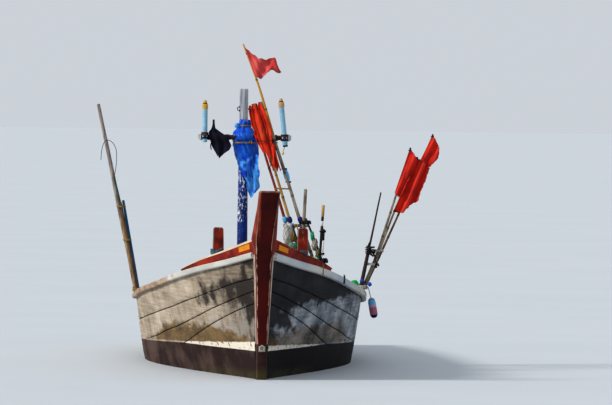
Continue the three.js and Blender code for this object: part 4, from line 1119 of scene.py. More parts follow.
def deck_board(shape, y0, y1, top, thick):
    """A board across the boat, cut to the hull at its ends."""
    (ya, za), (yb, zb) = ((y, top(y) if callable(top) else top) for y in (y0, y1))
    rings = []
    for t in spread(-1, 2, 10):
        ring = []
        for y, z, lift in ((ya, za, -thick), (ya, za, -0.003), (ya + 0.003, za, 0), (yb - 0.003, zb, 0),
                           (yb, zb, -0.003), (yb, zb, -thick)):
            level = z + lift
            place = Vector((t * inside_half(y, level), y, level))
            ring.append(place + Vector((0, 0, jitter((t * 2, y * 3, 0), 1.0, 0.0015))))
        rings.append(ring)
    shape.loft(rings, worn=[0.8, 0.9, 0.2, 0.2, 0.9, 0.8])


def board_run(shape, start, end, width, top, gap=0.006, seed=3):
    """Deck boards laid side by side from one y to another, none quite as wide or as high as the next."""
    draw = random.Random(seed)
    y = start
    while y < end - width * 0.4:
        stop = min(y + width * draw.uniform(0.85, 1.15), end)
        lift = draw.uniform(-0.002, 0.0)
        deck_board(shape, y + gap / 2, stop - gap / 2, (lambda at, lift=lift: top(at) + lift), DECK_THICK)
        y = stop


def bulkhead(shape, front, foot, top, count):
    """Boards laid level over each other across the hull, to close it under a deck."""
    levels = spread(foot, top - foot, count)
    for low, high in zip(levels, levels[1:]):
        low, high = low + 0.002, high - 0.002
        shape.loft([[Vector((sign * inside_half(y, z), y, z))
                     for sign, z in ((-1, low), (1, low), (1, high), (-1, high))]
                    for y in (front, front + BULKHEAD_THICK)])


def build_decks():
    foredeck = Shape()
    board_run(foredeck, -3.42, -1.575, 0.145, foredeck_top)
    bulkhead(foredeck, -1.598, -0.36, foredeck_top(-1.572) - 0.033, 6)
    foredeck.piece("foredeck_boards", "boards", slot="deck_wood", stands_for=("foredeck",))
    aft = Shape()
    board_run(aft, 2.905, 3.606, 0.135, lambda y: 0.359, seed=7)
    bulkhead(aft, 2.903, -0.28, 0.325, 4)
    aft.piece("aft_deck_boards", "boards", slot="deck_wood", stands_for=("aft_deck",))
    build_floor()
    thwarts = Shape()
    for y, top, half in ((-0.05, 0.47, 0.12), (1.38, 0.43, 0.12)):
        deck_board(thwarts, y - half, y + half, top, 0.034)
    thwarts.piece("thwart_boards", "boards", slot="deck_wood", stands_for=("midship_thwart", "aft_thwart"))
    for node in ("frames", "mast_thwart"):
        dress(node, "boards")
    dress("keel", "planks_port")
    dress("transom", "bitt_red")


def build_floor():
    """Bottom boards that run fore and aft, each ended where the hull closes in."""
    floor = Shape()
    z = -0.145
    under = z - 0.025
    width = 0.15
    for k in range(-5, 5):
        x0, x1 = k * width + 0.003, (k + 1) * width - 0.003
        outer = max(abs(x0), abs(x1))
        inside = [y for y in spread(-1.56, 4.44, 60)
                  if half_breadth(share_at(y, under), under) - 0.09 > outer]
        if len(inside) < 4:
            continue
        rings = []
        for y in inside:
            lift = jitter((k, y, 0), 1.1, 0.0015)
            top, side = z + lift, z - 0.003 + lift
            rings.append([Vector(p) for p in ((x0, y, under), (x1, y, under), (x1, y, side),
                                              (x1 - 0.003, y, top), (x0 + 0.003, y, top), (x0, y, side))])
        floor.loft(rings, worn=[0.8, 0.8, 0.9, 0.2, 0.2, 0.9])
    floor.piece("bottom_boards", "boards", slot="deck_wood", stands_for=("floorboards",))


def dress(node, finish_name):
    """Gives a solid node its finish."""
    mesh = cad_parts[node].data
    mesh.materials.clear()
    mesh.materials.append(finish(finish_name))


# Poles, ropes and floats


def ring_path(x, y, half_x, half_y, z0, z1, turns, squared=0.35, start=0.0):
    """A rope's turns round a post or a bunch of poles, as points on a spiral between a circle and a box."""
    count = int(turns * 16)
    path = []
    for k in range(count + 1):
        t = 2 * math.pi * (k / 16 + start)
        c, s = math.cos(t), math.sin(t)
        stretch = 1 / max(abs(c), abs(s)) ** squared
        path.append((x + half_x * c * stretch, y + half_y * s * stretch, z0 + (z1 - z0) * k / count))
    return path


def band(shape, ring, step, radius):
    """A plain cord's turns, with the values of a ring path."""
    shape.tube(smooth_path(ring_path(*ring), step), radius, 6)


def cross_lashing(shape, centre, wide, high, deep, radius, turns):
    """Diagonal turns that tie an upright to a bar, crossed over each other."""
    for tilt in (1, -1):
        path = []
        for k in range(turns * 12 + 1):
            t = 2 * math.pi * k / 12
            shift = (k / (turns * 12) - 0.5) * high * 0.5
            path.append((centre[0] + wide * math.cos(t) + shift * tilt * 0.5,
                         centre[1] + deep * math.sin(t),
                         centre[2] + high * math.cos(t) * tilt + shift))
        shape.tube(smooth_path(path, radius * 1.5), radius, 6)


def cane(shape, places, radii, knots=0.26, seed=1, sides=11, crook=0.003):
    """A pole that is a little crooked, with a raised knot at each joint of the cane."""
    draw = random.Random(seed)
    path = smooth_path(places, 0.05)
    reach = [0.0]
    for a, b in zip(path, path[1:]):
        reach.append(reach[-1] + (b - a).length)
    whole = reach[-1]
    steps = max(int(whole / 0.05), 2)
    stations = {round(whole * k / steps, 4): 0.0 for k in range(1, steps)}
    at = knots * draw.uniform(0.3, 0.8) if knots else whole
    while at < whole - 0.02:
        for off, swell in ((-0.014, 0.0), (-0.005, 1.0), (0.004, 0.7), (0.013, 0.0)):
            stations[round(at + off, 4)] = swell
        at += knots * draw.uniform(0.85, 1.15)
    stations.update({0.0: 0.0, 0.004: 0.0, round(whole - 0.004, 4): 0.0, whole: 0.0})
    marks = [0.0]
    for a, b in zip(places, places[1:]):
        marks.append(marks[-1] + (Vector(b) - Vector(a)).length)
    table = [(mark / marks[-1], radius) for mark, radius in zip(marks, radii)]
    rings, worn = [], []
    across = (path[1] - path[0]).orthogonal().normalized()
    for at in sorted(stations):
        i = next((k for k in range(len(reach) - 1) if reach[k + 1] >= at - 1e-6), len(reach) - 2)
        along = (path[i + 1] - path[i]).normalized()
        place = path[i] + along * (at - reach[i])
        bow = crook * math.sin(math.pi * min(at / whole, 1))
        place += Vector((jitter((at * 2.2, seed, 0), 1, bow * 2), jitter((0, at * 2.2, seed), 1, bow * 2), 0))
        across = (across - along * across.dot(along)).normalized()
        up = along.cross(across)
        swell = stations[at]
        radius = along_table(table, at / whole)[1] * (1 + swell * 0.12) * (0.8 if at in (0.0, whole) else 1)
        rings.append([place + (across * math.cos(t) + up * math.sin(t)) * radius
                      * (1 + jitter((math.cos(t), math.sin(t), at * 3 + seed), 1.5, 0.07))
                      for t in angles(sides)])
        worn += [swell] * sides
    shape.loft(rings, worn=worn)


def float_body(shape, low, high, radius, sides=18, rows=14, dents=0.0012):
    """A foam float that a pole or a string goes through, with rounded ends and a bore's rim."""
    low, high = Vector(low), Vector(high)
    along = (high - low).normalized()
    across = along.orthogonal().normalized()
    up = along.cross(across)
    rings = []
    for k in range(rows + 1):
        t = k / rows
        swell = (1 - abs(2 * t - 1) ** 2.6) ** 0.5 if 0 < k < rows else 0.0
        wide = radius * (0.36 + 0.64 * swell)
        place = low + (high - low) * t
        rings.append([place + (across * math.cos(a) + up * math.sin(a))
                      * (wide + jitter((a * 2, t * 6, radius * 90), 1.3, dents)) for a in angles(sides)])
    shape.loft(rings)


LUMP_ROUGH = 0.28


def on_lump(centre, size, a, tilt, grow, seed):
    """A point of an uneven heap, at an angle round it and a tilt from its foot."""
    way = Vector((math.cos(a) * math.sin(tilt), math.sin(a) * math.sin(tilt), -math.cos(tilt)))
    grow = grow + jitter(way, 1.6, LUMP_ROUGH, seed) + jitter(way, 4.5, LUMP_ROUGH * 0.45, seed + 5)
    size = Vector(size)
    return Vector(centre) + Vector((way.x * size.x, way.y * size.y, way.z * size.z)) * grow


def lump(shape, centre, size, seed, sides=20, rows=14):
    """An uneven heap of netting or cloth."""
    shape.loft([[on_lump(centre, size, a, math.pi * k / rows, 1, seed) for a in angles(sides)]
                for k in range(1, rows)])


def net_strands(shape, centre, size, seed, count=9, radius=0.0014):
    """Crossed strands of mesh over a lump of the same place and size."""
    for turn in (1, -1):
        for k in range(count):
            shape.tube([on_lump(centre, size, 2 * math.pi * (k / count + turn * i * 0.028),
                                math.pi * (0.1 + 0.8 * i / 14), 1.03, seed) for i in range(15)], radius, 5)


def knot(shape, centre, size, radius, seed):
    """A small overhand knot with two short ends."""
    draw = random.Random(seed)
    centre = Vector(centre)
    path = [centre + Vector((size * math.sin(t) * 0.9, size * math.cos(2 * t) * 0.6,
                             size * math.sin(2 * t + 0.6) * 0.7)) for t in angles(14)]
    ends = [centre + Vector((draw.uniform(-1, 1), draw.uniform(-0.6, 0.2), draw.uniform(-2.4, -1.2))) * size
            for _ in range(2)]
    shape.tube(smooth_path([ends[0], *path, ends[1]], radius * 1.6), radius, 6)


# Bitts


BITT_X, BITT_Y = 0.337, -2.55
BITT_TABLE = ((0.76, 0.041), (1.04, 0.041), (1.153, 0.036), (1.161, 0.031), (1.165, 0.024))


def square_ring(half, cut):
    """The corners of a squared timber's section, and how worn each point is."""
    points, worn = [], []
    for sx, sy in ((1, 1), (-1, 1), (-1, -1), (1, -1)):
        one, two = (sx * half, sy * (half - cut)), (sx * (half - cut), sy * half)
        middle = (sx * (half - cut * 0.32), sy * (half - cut * 0.32))
        points += (one, middle, two) if sx * sy > 0 else (two, middle, one)
        worn += [0.5, 1.0, 0.5]
    return points, worn


def build_bitts(sizes):
    for side, sign in SIDES:
        post = Shape()
        rings = []
        heights = [0.76 + 0.28 * k / 12 for k in range(12)] + [1.04, 1.08, 1.12, 1.153, 1.161, 1.165]
        for z in heights:
            half = along_table(BITT_TABLE, z)[1]
            points, worn = square_ring(half, 0.007)
            ring = []
            for (x, y), amount in zip(points, worn):
                wider = 1.03 + max(z - 0.95, 0) * 0.4
                place = Vector((BITT_X * sign + 0.007 + x * wider, BITT_Y + y, z + max(z - 0.9, 0) * 0.04))
                dent = jitter(place, 14, 0.0022 * amount, sign)
                ring.append(place + Vector((dent, dent, 0)))
            rings.append(ring)
        post.loft(rings, worn=worn)
        post.piece(f"bitt_post_{side}", "bitt_red", slot="stem_wood", stands_for=(f"bitt_{side}",),
                   sharp=30)
        turns = Shape()
        radius = sizes.rope_radius
        reach = 0.041 + radius
        if sign > 0:
            turns.rope(ring_path(BITT_X, BITT_Y, reach, reach, 0.958, 0.992, 2.3, 0.75, 0.6), radius)
            loop = [(BITT_X - 0.040, BITT_Y - 0.044, 0.975), (BITT_X - 0.085, BITT_Y - 0.052, 0.968),
                    (BITT_X - 0.130, BITT_Y - 0.030, 0.955), (BITT_X - 0.145, BITT_Y + 0.020, 0.930),
                    (BITT_X - 0.120, BITT_Y + 0.070, 0.890), (BITT_X - 0.060, BITT_Y + 0.095, 0.845),
                    (BITT_X + 0.010, BITT_Y + 0.120, 0.790)]
            turns.rope(loop, radius * 0.9)
        else:
            turns.rope(ring_path(-BITT_X, BITT_Y, reach, reach, 0.964, 1.000, 2.6, 0.75, 0.1), radius)
            hitch = [(-BITT_X + dx, BITT_Y - 0.047 + dy, z) for dx, dy, z in (
                (-0.044, 0.004, 0.955), (-0.020, -0.010, 0.972), (0.010, -0.012, 0.990),
                (0.036, -0.006, 1.006), (0.046, 0.014, 1.010))]
            turns.rope(hitch, radius)
        turns.piece(f"bitt_rope_{side}", "rope_blue", slot="netting")


# Mast, arm and lamps


MAST_X, MAST_Y, MAST_TOP, MAST_FOOT_Z = -0.108, -1.4, 2.291, -0.1446
MAST_TABLE = ((MAST_FOOT_Z, 0.045), (0.7, 0.044), (MAST_TOP, 0.035))
ARM_Y, ARM_Z, ARM_RADIUS = -1.4581, 1.892, 0.019
LAMP_Y, LAMP_RADIUS = -1.4995, 0.021
LAMPS = (
    # side, foot x, foot z, head x, head z
    ("starboard", -0.426, 1.850, -0.426, 2.123),
    ("port", 0.233, 1.821, 0.198, 2.145),
)


def build_mast():
    mast = Shape()
    sides = 30
    rows = 96
    rings, worn = [], []
    heights = spread(MAST_FOOT_Z, MAST_TOP - 0.006 - MAST_FOOT_Z, rows)
    for z in heights + [MAST_TOP - 0.002, MAST_TOP]:
        radius = along_table(MAST_TABLE, z)[1] - max(z - MAST_TOP + 0.006, 0)
        ring = []
        for t in angles(sides):
            way = Vector((math.cos(t), math.sin(t), 0))
            crack = max(noise.noise(Vector((way.x * 5, way.y * 5, z * 1.6))) - 0.34, 0) * 0.004
            reach = radius + jitter((way.x, way.y, z * 2), 1, 0.0015) - crack
            ring.append(Vector((MAST_X, MAST_Y, z)) + way * reach)
            worn.append(min(crack * 900, 1))
        rings.append(ring)
    mast.loft(rings, worn=worn)
    mast.piece("mast_spar", "mast_paint", slot="mast_paint", stands_for=("mast",))
    metal = Shape()
    metal.tube([(MAST_X - 0.034, MAST_Y - 0.012, 2.111), (MAST_X - 0.048, MAST_Y - 0.018, 2.115),
                (MAST_X - 0.054, MAST_Y - 0.021, 2.127), (MAST_X - 0.048, MAST_Y - 0.018, 2.139),
                (MAST_X - 0.034, MAST_Y - 0.012, 2.143)], 0.004, 8)
    for z in (2.111, 2.143):
        metal.stud((MAST_X - 0.035, MAST_Y - 0.013, z), (-0.9, -0.35, 0), 0.009, 0.003)
    metal.piece("mast_staple", "rusty_steel", slot="steel")
    arm = Shape()
    cane(arm, [(-0.473, ARM_Y, ARM_Z), (-0.10, ARM_Y, ARM_Z + 0.002), (0.271, ARM_Y, ARM_Z)],
         [ARM_RADIUS, ARM_RADIUS, ARM_RADIUS], 0.19, 4, crook=0.001)
    arm.piece("cross_arm_pole", "cane_dark", slot="bamboo", stands_for=("cross_arm",))
    ties = Shape()
    middle = (MAST_Y - 0.037 + ARM_Y - ARM_RADIUS) / 2 + 0.018
    cross_lashing(ties, (MAST_X, middle, ARM_Z), 0.046, 0.034, 0.058, 0.004, 4)
    reach = ARM_RADIUS + 0.003
    for start, end, turns in ((-0.465, -0.450, 5), (-0.395, -0.290, 9), (-0.262, -0.224, 7),
                              (0.125, 0.168, 8), (0.245, 0.270, 6)):
        run = end - start
        count = turns * 8
        ties.tube([(start + run * k / count, ARM_Y + reach * math.cos(t), ARM_Z + reach * math.sin(t))
                   for k, t in enumerate(angles(8, count - 8 + 1))], 0.0032, 6)
    ties.piece("arm_lashings", "rope_dark", slot="netting")
    for row in LAMPS:
        build_lamp(*row)


def build_lamp(side, foot_x, foot_z, head_x, head_z):
    """A tube lamp with a cap over its head and its lashing to the arm."""
    foot, head = Vector((foot_x, LAMP_Y, foot_z)), Vector((head_x, LAMP_Y, head_z))
    up = (head - foot).normalized()

    def past(reach):
        return head + up * reach

    lamp = Shape()
    body = [(foot, 0.016), (foot + up * 0.004, 0.0195)]
    body += [(foot + up * (0.004 + (head - foot).length * k / 9), LAMP_RADIUS) for k in range(1, 9)]
    body += [(past(-0.002), LAMP_RADIUS)]
    lamp.tube([p for p, _ in body], [r for _, r in body], 20)
    for turn in range(6):
        t = 2 * math.pi * turn / 6 + 0.3
        off = Vector((math.cos(t), math.sin(t), 0)) * (LAMP_RADIUS - 0.0005)
        lamp.tube([foot + up * 0.02 + off, past(-0.01) + off], 0.0016, 6)
    cap = [(-0.002, 0.0235), (0.002, 0.024), (0.018, 0.0242), (0.034, 0.024), (0.038, 0.022), (0.042, 0.0155),
           (0.058, 0.0145), (0.066, 0.013), (0.070, 0.009)]
    lamp.mark = 1
    lamp.tube([past(h) for h, _ in cap], [r for _, r in cap], 20)
    lamp.mark = 2
    lamp.tube([past(0.0385), past(0.0405), past(0.0465), past(0.0485)], [0.0165, 0.0185, 0.0185, 0.0165], 18)
    if side == "port":
        rim = [foot - up * 0.0015, foot + up * 0.010, foot + up * 0.012]
        lamp.tube(rim, [0.0185, 0.0222, 0.0205], 18)
    cap_finish = "lamp_cap" if side == "starboard" else "lamp_cap_tan"
    lamp.piece(f"lamp_body_{side}", ("lamp_blue", cap_finish, "black_plastic"),
               slot="lamp_plastic", stands_for=(f"lamp_{side}",), sharp=45)
    clamp = Shape()
    middle_x = foot_x + (head_x - foot_x) * (ARM_Z - foot_z) / (head_z - foot_z)
    raised = 0.012 if side == "starboard" else 0.0
    centre = (middle_x, (LAMP_Y + ARM_Y) / 2 - 0.001, ARM_Z + raised / 2)
    cross_lashing(clamp, centre, 0.027, 0.022, 0.046, 0.0036, 2)
    for lift in (raised - 0.018, raised + 0.022):
        band(clamp, (middle_x, LAMP_Y, 0.0245, 0.0245, ARM_Z + lift - 0.007, ARM_Z + lift + 0.007, 2.5, 0),
             0.006, 0.0035)
    clamp.mark = 1
    band(clamp, (middle_x, LAMP_Y, 0.0268, 0.0268, ARM_Z + raised + 0.012, ARM_Z + raised + 0.016, 1.6, 0),
         0.006, 0.003)
    clamp.piece(f"lamp_clamp_{side}", ("black_plastic", "red_plastic"), slot="lamp_plastic")
    plate = Shape()
    out = -1 if side == "starboard" else 1
    base = middle_x + out * 0.030
    corners = [(base, -0.022), (base + out * 0.024, -0.018), (base + out * 0.026, 0.020), (base, 0.024)]
    plate.loft([[Vector((x, ARM_Y - 0.024, ARM_Z + lift)) + Vector((0, off, 0)) for x, lift in corners]
                for off in (-0.003, 0.003)])
    plate.piece(f"lamp_plate_{side}", "white_plastic", slot="lamp_plastic")
    if side == "port":
        bead = Shape()
        float_body(bead, (0.211, LAMP_Y, 1.756), (0.215, LAMP_Y, 1.779), 0.0105, 12, 8, 0.0003)
        bead.mark = 1
        bead.tube([(0.211, LAMP_Y, 1.753), (0.215, LAMP_Y, 1.786), foot + Vector((-0.002, 0, 0.004))],
                  0.0020, 6)
        bead.piece("lamp_pull", ("yellow_plastic", "rope_dark"), slot="lamp_plastic")


# Film and cloth on the mast


FILM_TABLE = (
    # height, middle x, half width, half depth
    (1.600, -0.052, 0.074, 0.066), (1.630, -0.066, 0.082, 0.070), (1.693, -0.073, 0.088, 0.074),
    (1.758, -0.082, 0.098, 0.078), (1.823, -0.090, 0.106, 0.080), (1.850, -0.092, 0.098, 0.072),
    (1.890, -0.098, 0.106, 0.084), (1.927, -0.104, 0.094, 0.082), (1.955, -0.096, 0.072, 0.066),
    (1.982, -0.098, 0.052, 0.050), (1.992, -0.098, 0.046, 0.046), (2.010, -0.090, 0.056, 0.052),
    (2.032, -0.080, 0.052, 0.054),
)


def film_place(u, v):
    """The film from its gathered tuft down, wound a little more than once round the mast."""
    z = 2.032 - 0.417 * u
    _, x, wide, deep = along_table(FILM_TABLE, z)
    t = 2 * math.pi * (v * 1.08 + 0.22)
    way = Vector((math.cos(t), math.sin(t), 0))
    pleat = abs(math.sin(t * 4.5 + z * 16 + 2.6 * noise.noise(Vector((way.x, way.y, z * 6))))) - 0.6
    crumple = jitter((way.x, way.y, z * 7), 1.7, 0.17, 1.0) + jitter((way.x, way.y, z * 15), 4.0, 0.07, 4.0)
    grow = 0.94 + pleat * 0.12 + crumple + (0.03 if v > 0.93 else 0)
    lift = jitter((way.x, way.y, 0), 2.6, 0.030, 7.0) * (1 if u < 0.08 or u > 0.9 else 0.4)
    bulge = 0.020 * math.exp(-((z - ARM_Z) / 0.045) ** 2)
    lift -= 0.045 * u ** 4 * (way.x + 0.8)
    return Vector((x + wide * grow * way.x, MAST_Y - 0.008 - bulge + deep * grow * way.y, z + lift))


FILM_TAIL = (
    # height, middle x, half width
    (1.42, -0.031, 0.028), (1.47, -0.022, 0.046), (1.52, -0.028, 0.054), (1.563, -0.036, 0.060),
    (1.60, -0.050, 0.070), (1.66, -0.066, 0.080), (1.735, -0.072, 0.080),
)


def film_tail_place(u, v):
    """A torn end of the film that hangs below the rest."""
    z = 1.735 - 0.315 * u
    _, x, half = along_table(FILM_TAIL, z)
    y = -1.480 + 0.026 * u * u + 0.010 * math.sin(v * 9 + u * 6) + 0.006 * math.sin(v * 17)
    return Vector((x + (half + 0.006 * math.sin(u * 17)) * (2 * v - 1), y, z - 0.020 * math.sin(v * 5)))


NAVY_ROWS = (
    # share down, height, left x, right x
    (0.00, 2.036, -0.362, -0.348), (0.10, 2.000, -0.362, -0.346), (0.22, 1.962, -0.372, -0.340),
    (0.32, 1.940, -0.392, -0.310), (0.45, 1.900, -0.394, -0.250), (0.62, 1.850, -0.376, -0.222),
    (0.75, 1.815, -0.366, -0.207), (0.87, 1.782, -0.345, -0.226), (1.00, 1.734, -0.318, -0.302),
)


def navy_place(u, v):
    """The dark cloth, hung over the arm by its bunched top."""
    _, z, left, right = along_table(NAVY_ROWS, u)
    fold = 0.009 * math.sin(v * 9 + u * 3) + 0.004 * math.sin(v * 17 + u * 5 + 1.0)
    bulge = -0.013 * math.exp(-((z - ARM_Z) / 0.03) ** 2)
    return Vector((left + (right - left) * v, ARM_Y - 0.031 + fold * (0.4 + 0.6 * u) + bulge,
                   z + 0.012 * math.sin(v * 7) * u + jitter((v * 5, u * 5, 1), 1, 0.006)))


def build_wraps():
    cloth("film_wrap", film_place, 150, 34, 0.0016, "film", ["mast_spar"], (0.62, 0.36), "gathered",
          slot="wrap_film", stands_for=("plastic_wrap",))
    knot_end = Shape()
    lump(knot_end, (-0.160, MAST_Y - 0.040, 1.990), (0.022, 0.018, 0.020), 14.0)
    knot_end.piece("film_knot_end", "film_pale", slot="wrap_film")
    cloth("film_tail", film_tail_place, 24, 40, 0.0012, "film_pale", ["film_wrap"], (0.15, 0.34),
          "hung", slot="wrap_film")
    tie = Shape()
    for z, x, half, turns in ((1.987, -0.098, 0.052, 2.4), (1.850, -0.092, 0.098, 2.2)):
        path = ring_path(x, MAST_Y - 0.016, half, half * 0.90, z - 0.006, z + 0.006, turns, 0)
        tie.rope([Vector(p) + Vector((0, 0, jitter(p, 12, 0.006))) for p in path], 0.0034, 0.03)
    knot(tie, (-0.050, MAST_Y - 0.100, 1.856), 0.012, 0.0034, 5)
    tie.piece("film_ties", "rope_tan", slot="netting")
    cloth("navy_rag", navy_place, 34, 34, 0.0030, "navy_cloth", ["cross_arm_pole"], (0.15, 0.24),
          "hung", slot="navy_cloth", stands_for=("navy_cloth",))
    strap = Shape()
    strap.tube(smooth_path([(-0.366, ARM_Y - 0.030, 1.868), (-0.377, ARM_Y - 0.034, 1.825),
                            (-0.372, ARM_Y - 0.032, 1.790)], 0.008), 0.0045, 8)
    strap.piece("rag_strap", "navy_cloth", slot="navy_cloth")


# Marker poles by the mast


POLE_Y = -1.64
TOP_POLE = ((0.505, POLE_Y, 0.80), (0.349, POLE_Y, 1.234), (0.091, POLE_Y, 2.041), (-0.007, POLE_Y, 2.350),
            (-0.126, POLE_Y, 2.654))
TOP_RADII = (0.014, 0.013, 0.011, 0.009, 0.007)
FURLED_POLES = (
    # foot x, waist x, head x, head height, y, finish
    (0.392, 0.228, -0.066, 2.154, -1.700, "cane_red"),
    (0.430, 0.265, -0.031, 2.172, -1.730, "cane"),
    (0.545, 0.352, 0.024, 2.186, -1.700, "cane_grey"),
)
WAIST_Z = 1.234
GREY_STICK = ((0.361, -1.9, 0.80), (0.375, -1.9, 1.175), (0.387, -1.9, 1.481))
LEANING_STICK = ((0.565, -1.93, 0.79), (0.485, -1.93, 1.016), (0.389, -1.93, 1.247))


def edge_patch(top, bottom, y, folds):
    """A place function for a flag between its top and bottom edges, each a row of (x, z) from the hoist."""

    def read_edge(edge, share):
        at = share * (len(edge) - 1)
        k = min(int(at), len(edge) - 2)
        return Vector(edge[k]).lerp(Vector(edge[k + 1]), at - k)

    def place(u, v):
        here = read_edge(top, v).lerp(read_edge(bottom, v), u)
        edge = max(0.0, abs(2 * u - 1) - 0.8) * 5 + max(0.0, v - 0.9) * 8
        free = min(v * 3, 1)
        return Vector((here.x + jitter((u * 9, v * 9, y * 50), 1, 0.007) * edge, y + folds(u, v) * free,
                       here.y + jitter((u * 11, v * 11, y * 70), 1, 0.012) * edge * free))

    return place


TOP_FLAG = (
    # the top edge and the bottom edge, out from the pole
    [(-0.114, 2.631), (-0.059, 2.579), (-0.003, 2.540), (0.064, 2.527), (0.133, 2.546), (0.183, 2.429)],
    [(-0.030, 2.400), (-0.003, 2.380), (0.023, 2.372), (0.060, 2.413), (0.102, 2.446), (0.177, 2.422)],
)


def top_flag_folds(u, v):
    return 0.016 * math.sin(v * 10 + u * 4) + 0.006 * math.sin(v * 23 - u * 7)


def build_marker_poles():
    pole = Shape()
    cane(pole, TOP_POLE, TOP_RADII, 0.24, 2, 12, 0.004)
    pole.piece("flag_pole_cane", "cane_two_tone", slot="bamboo", stands_for=("flag_pole",))
    place = edge_patch(*TOP_FLAG, -1.6555, top_flag_folds)
    cloth("top_flag_cloth", place, 46, 26, 0.0016, "flag_faded", ["flag_pole_cane"], (0.25, 0.20),
          "hung", slot="flag_cloth", stands_for=("top_flag",))
    for k, (foot_x, waist_x, head_x, head_z, y, kind) in enumerate(FURLED_POLES):
        stick = Shape()
        cane(stick, [(foot_x, y, foredeck_top(y) - 0.008), (waist_x, y, WAIST_Z), (head_x, y, head_z)],
             (0.013, 0.012, 0.008), 0.22, 11 + k, 11, 0.002)
        stick.piece(f"furled_pole_{k + 1}", kind, slot="bamboo",
                    stands_for=("furled_poles",) if k == 0 else ())
        build_pole_float(k, waist_x, y)
    ties = Shape()
    ties.rope(ring_path(0.3125, -1.690, 0.094, 0.064, 1.170, 1.192, 2.6, 0.2), 0.0042, 0.03)
    ties.rope(ring_path(0.212, -1.690, 0.062, 0.060, 1.475, 1.485, 1.6, 0.2), 0.0035, 0.03)
    knot(ties, (0.321, -1.752, 1.184), 0.014, 0.004, 2)
    ties.piece("pole_ties", "rope_tan", slot="netting")
    high_float = Shape()
    along = (Vector(TOP_POLE[2]) - Vector(TOP_POLE[1])).normalized()
    middle = Vector(TOP_POLE[1]) + along * 0.372 + Vector((0.002, -0.026, 0))
    float_body(high_float, middle - along * 0.050, middle + along * 0.050, 0.023)
    high_float.mark = 1
    for off in (-0.055, 0.055):
        spot = middle + along * off
        band(high_float, (spot.x, spot.y + 0.012, 0.020, 0.026, spot.z - 0.004, spot.z + 0.004, 2.4, 0),
             0.005, 0.004)
    high_float.piece("pole_float_high", ("sky_float", "rope_dark"), slot="float_plastic")
    build_furled_flags()
    build_netting()
    build_sticks()


def build_pole_float(k, waist_x, y):
    """Two floats on the waist of a furled pole."""
    body = Shape()
    colours = (("sky_float", "green_float"), ("navy_float", "sky_float"), ("navy_float", "blue_float"))[k]
    low, high = Vector((waist_x + 0.031, y, 1.150)), Vector((waist_x - 0.007, y, 1.254))
    middle = low.lerp(high, 0.5)
    float_body(body, low, middle - (high - low) * 0.02, 0.024)
    body.mark = 1
    float_body(body, middle + (high - low) * 0.02, high, 0.021)
    body.piece(f"pole_float_{k + 1}", colours[::-1], slot="float_plastic")


BLADES = (
    # top x, top z, foot x, foot z, width at the top, widest, at the foot, y, folds
    (-0.069, 2.152, 0.052, 1.773, 0.010, 0.066, 0.022, -1.716, 1.7),
    (-0.046, 2.166, 0.090, 1.711, 0.014, 0.072, 0.026, -1.742, 2.0),
    (-0.021, 2.170, 0.119, 1.676, 0.014, 0.076, 0.028, -1.726, 1.6),
    (0.007, 2.182, 0.144, 1.647, 0.012, 0.080, 0.028, -1.744, 1.5),
    (0.024, 2.140, 0.169, 1.640, 0.010, 0.070, 0.034, -1.718, 2.0),
)


def build_furled_flags():
    """Five pleated blades of furled cloth, each bound to its pole at the head and tied at the middle."""
    for k, blade in enumerate(BLADES):
        def place(u, v, row=blade, seed=k):
            x0, z0, x1, z1, w0, w1, w2, base, pleats = row
            belly = math.sin(math.pi * min(u * 1.05, 1) ** 0.8)
            width = w0 + (w2 - w0) * u + (w1 - (w0 + w2) / 2) * belly
            width *= 1 - 0.3 * math.exp(-((u - 0.52) / 0.05) ** 2)
            t = v * pleats
            zigzag = math.sin(math.pi * t)
            wave = 0.010 * math.sin(u * 6.5 + seed * 1.7)
            return Vector((x0 + (x1 - x0) * u + (v - 0.5) * width + wave * u,
                           base + zigzag * (0.006 + 0.012 * belly) + jitter((v * 3, u * 9, seed), 1, 0.006),
                           z0 + (z1 - z0) * u + (v - 0.5) * width * 0.25 + 0.02 * u * math.sin(v * 8 + seed)))

        cloth(f"furled_blade_{k + 1}", place, 32, 44, 0.0016, "flag_orange",
              [f"furled_pole_{min(k // 2 + 1, 3)}"], (0.08, 0.46), "gathered", slot="flag_cloth",
              stands_for=("furled_flags",) if k == 0 else ())
    strings = Shape()
    strings.rope(ring_path(0.079, -1.726, 0.084, 0.042, 1.853, 1.883, 1.6, 0.1), 0.0035, 0.03)
    strings.rope(ring_path(-0.034, -1.718, 0.046, 0.032, 2.116, 2.128, 1.6, 0.1), 0.003, 0.03)
    knot(strings, (0.123, -1.768, 1.872), 0.011, 0.003, 8)
    strings.piece("furled_strings", "rope_dark", slot="netting")


NET_LUMPS = (
    # centre, half sizes, finish of the body, finish of the strands, seed
    ((0.254, -1.768, 1.103), (0.040, 0.034, 0.095), "net_white", "rope_pale", 1.0),
    ((0.294, -1.800, 1.096), (0.017, 0.022, 0.044), "net_brown", "rope_tan", 2.0),
    ((0.283, -1.795, 1.008), (0.028, 0.026, 0.036), "net_green", "net_white", 3.0),
    ((0.319, -1.800, 1.014), (0.016, 0.020, 0.042), "navy_float", "net_green", 4.0),
)
STICK_NETS = (
    ((0.445, -1.935, 1.103), (0.014, 0.018, 0.034), "net_green", "net_green", 5.0),
    ((0.464, -1.935, 1.036), (0.022, 0.024, 0.050), "net_white", "rope_tan", 6.0),
    ((0.493, -1.935, 0.961), (0.022, 0.026, 0.036), "cane_red", "net_green", 7.0),
    ((0.463, -1.950, 0.901), (0.050, 0.045, 0.034), "net_white", "net_green", 8.0),
)


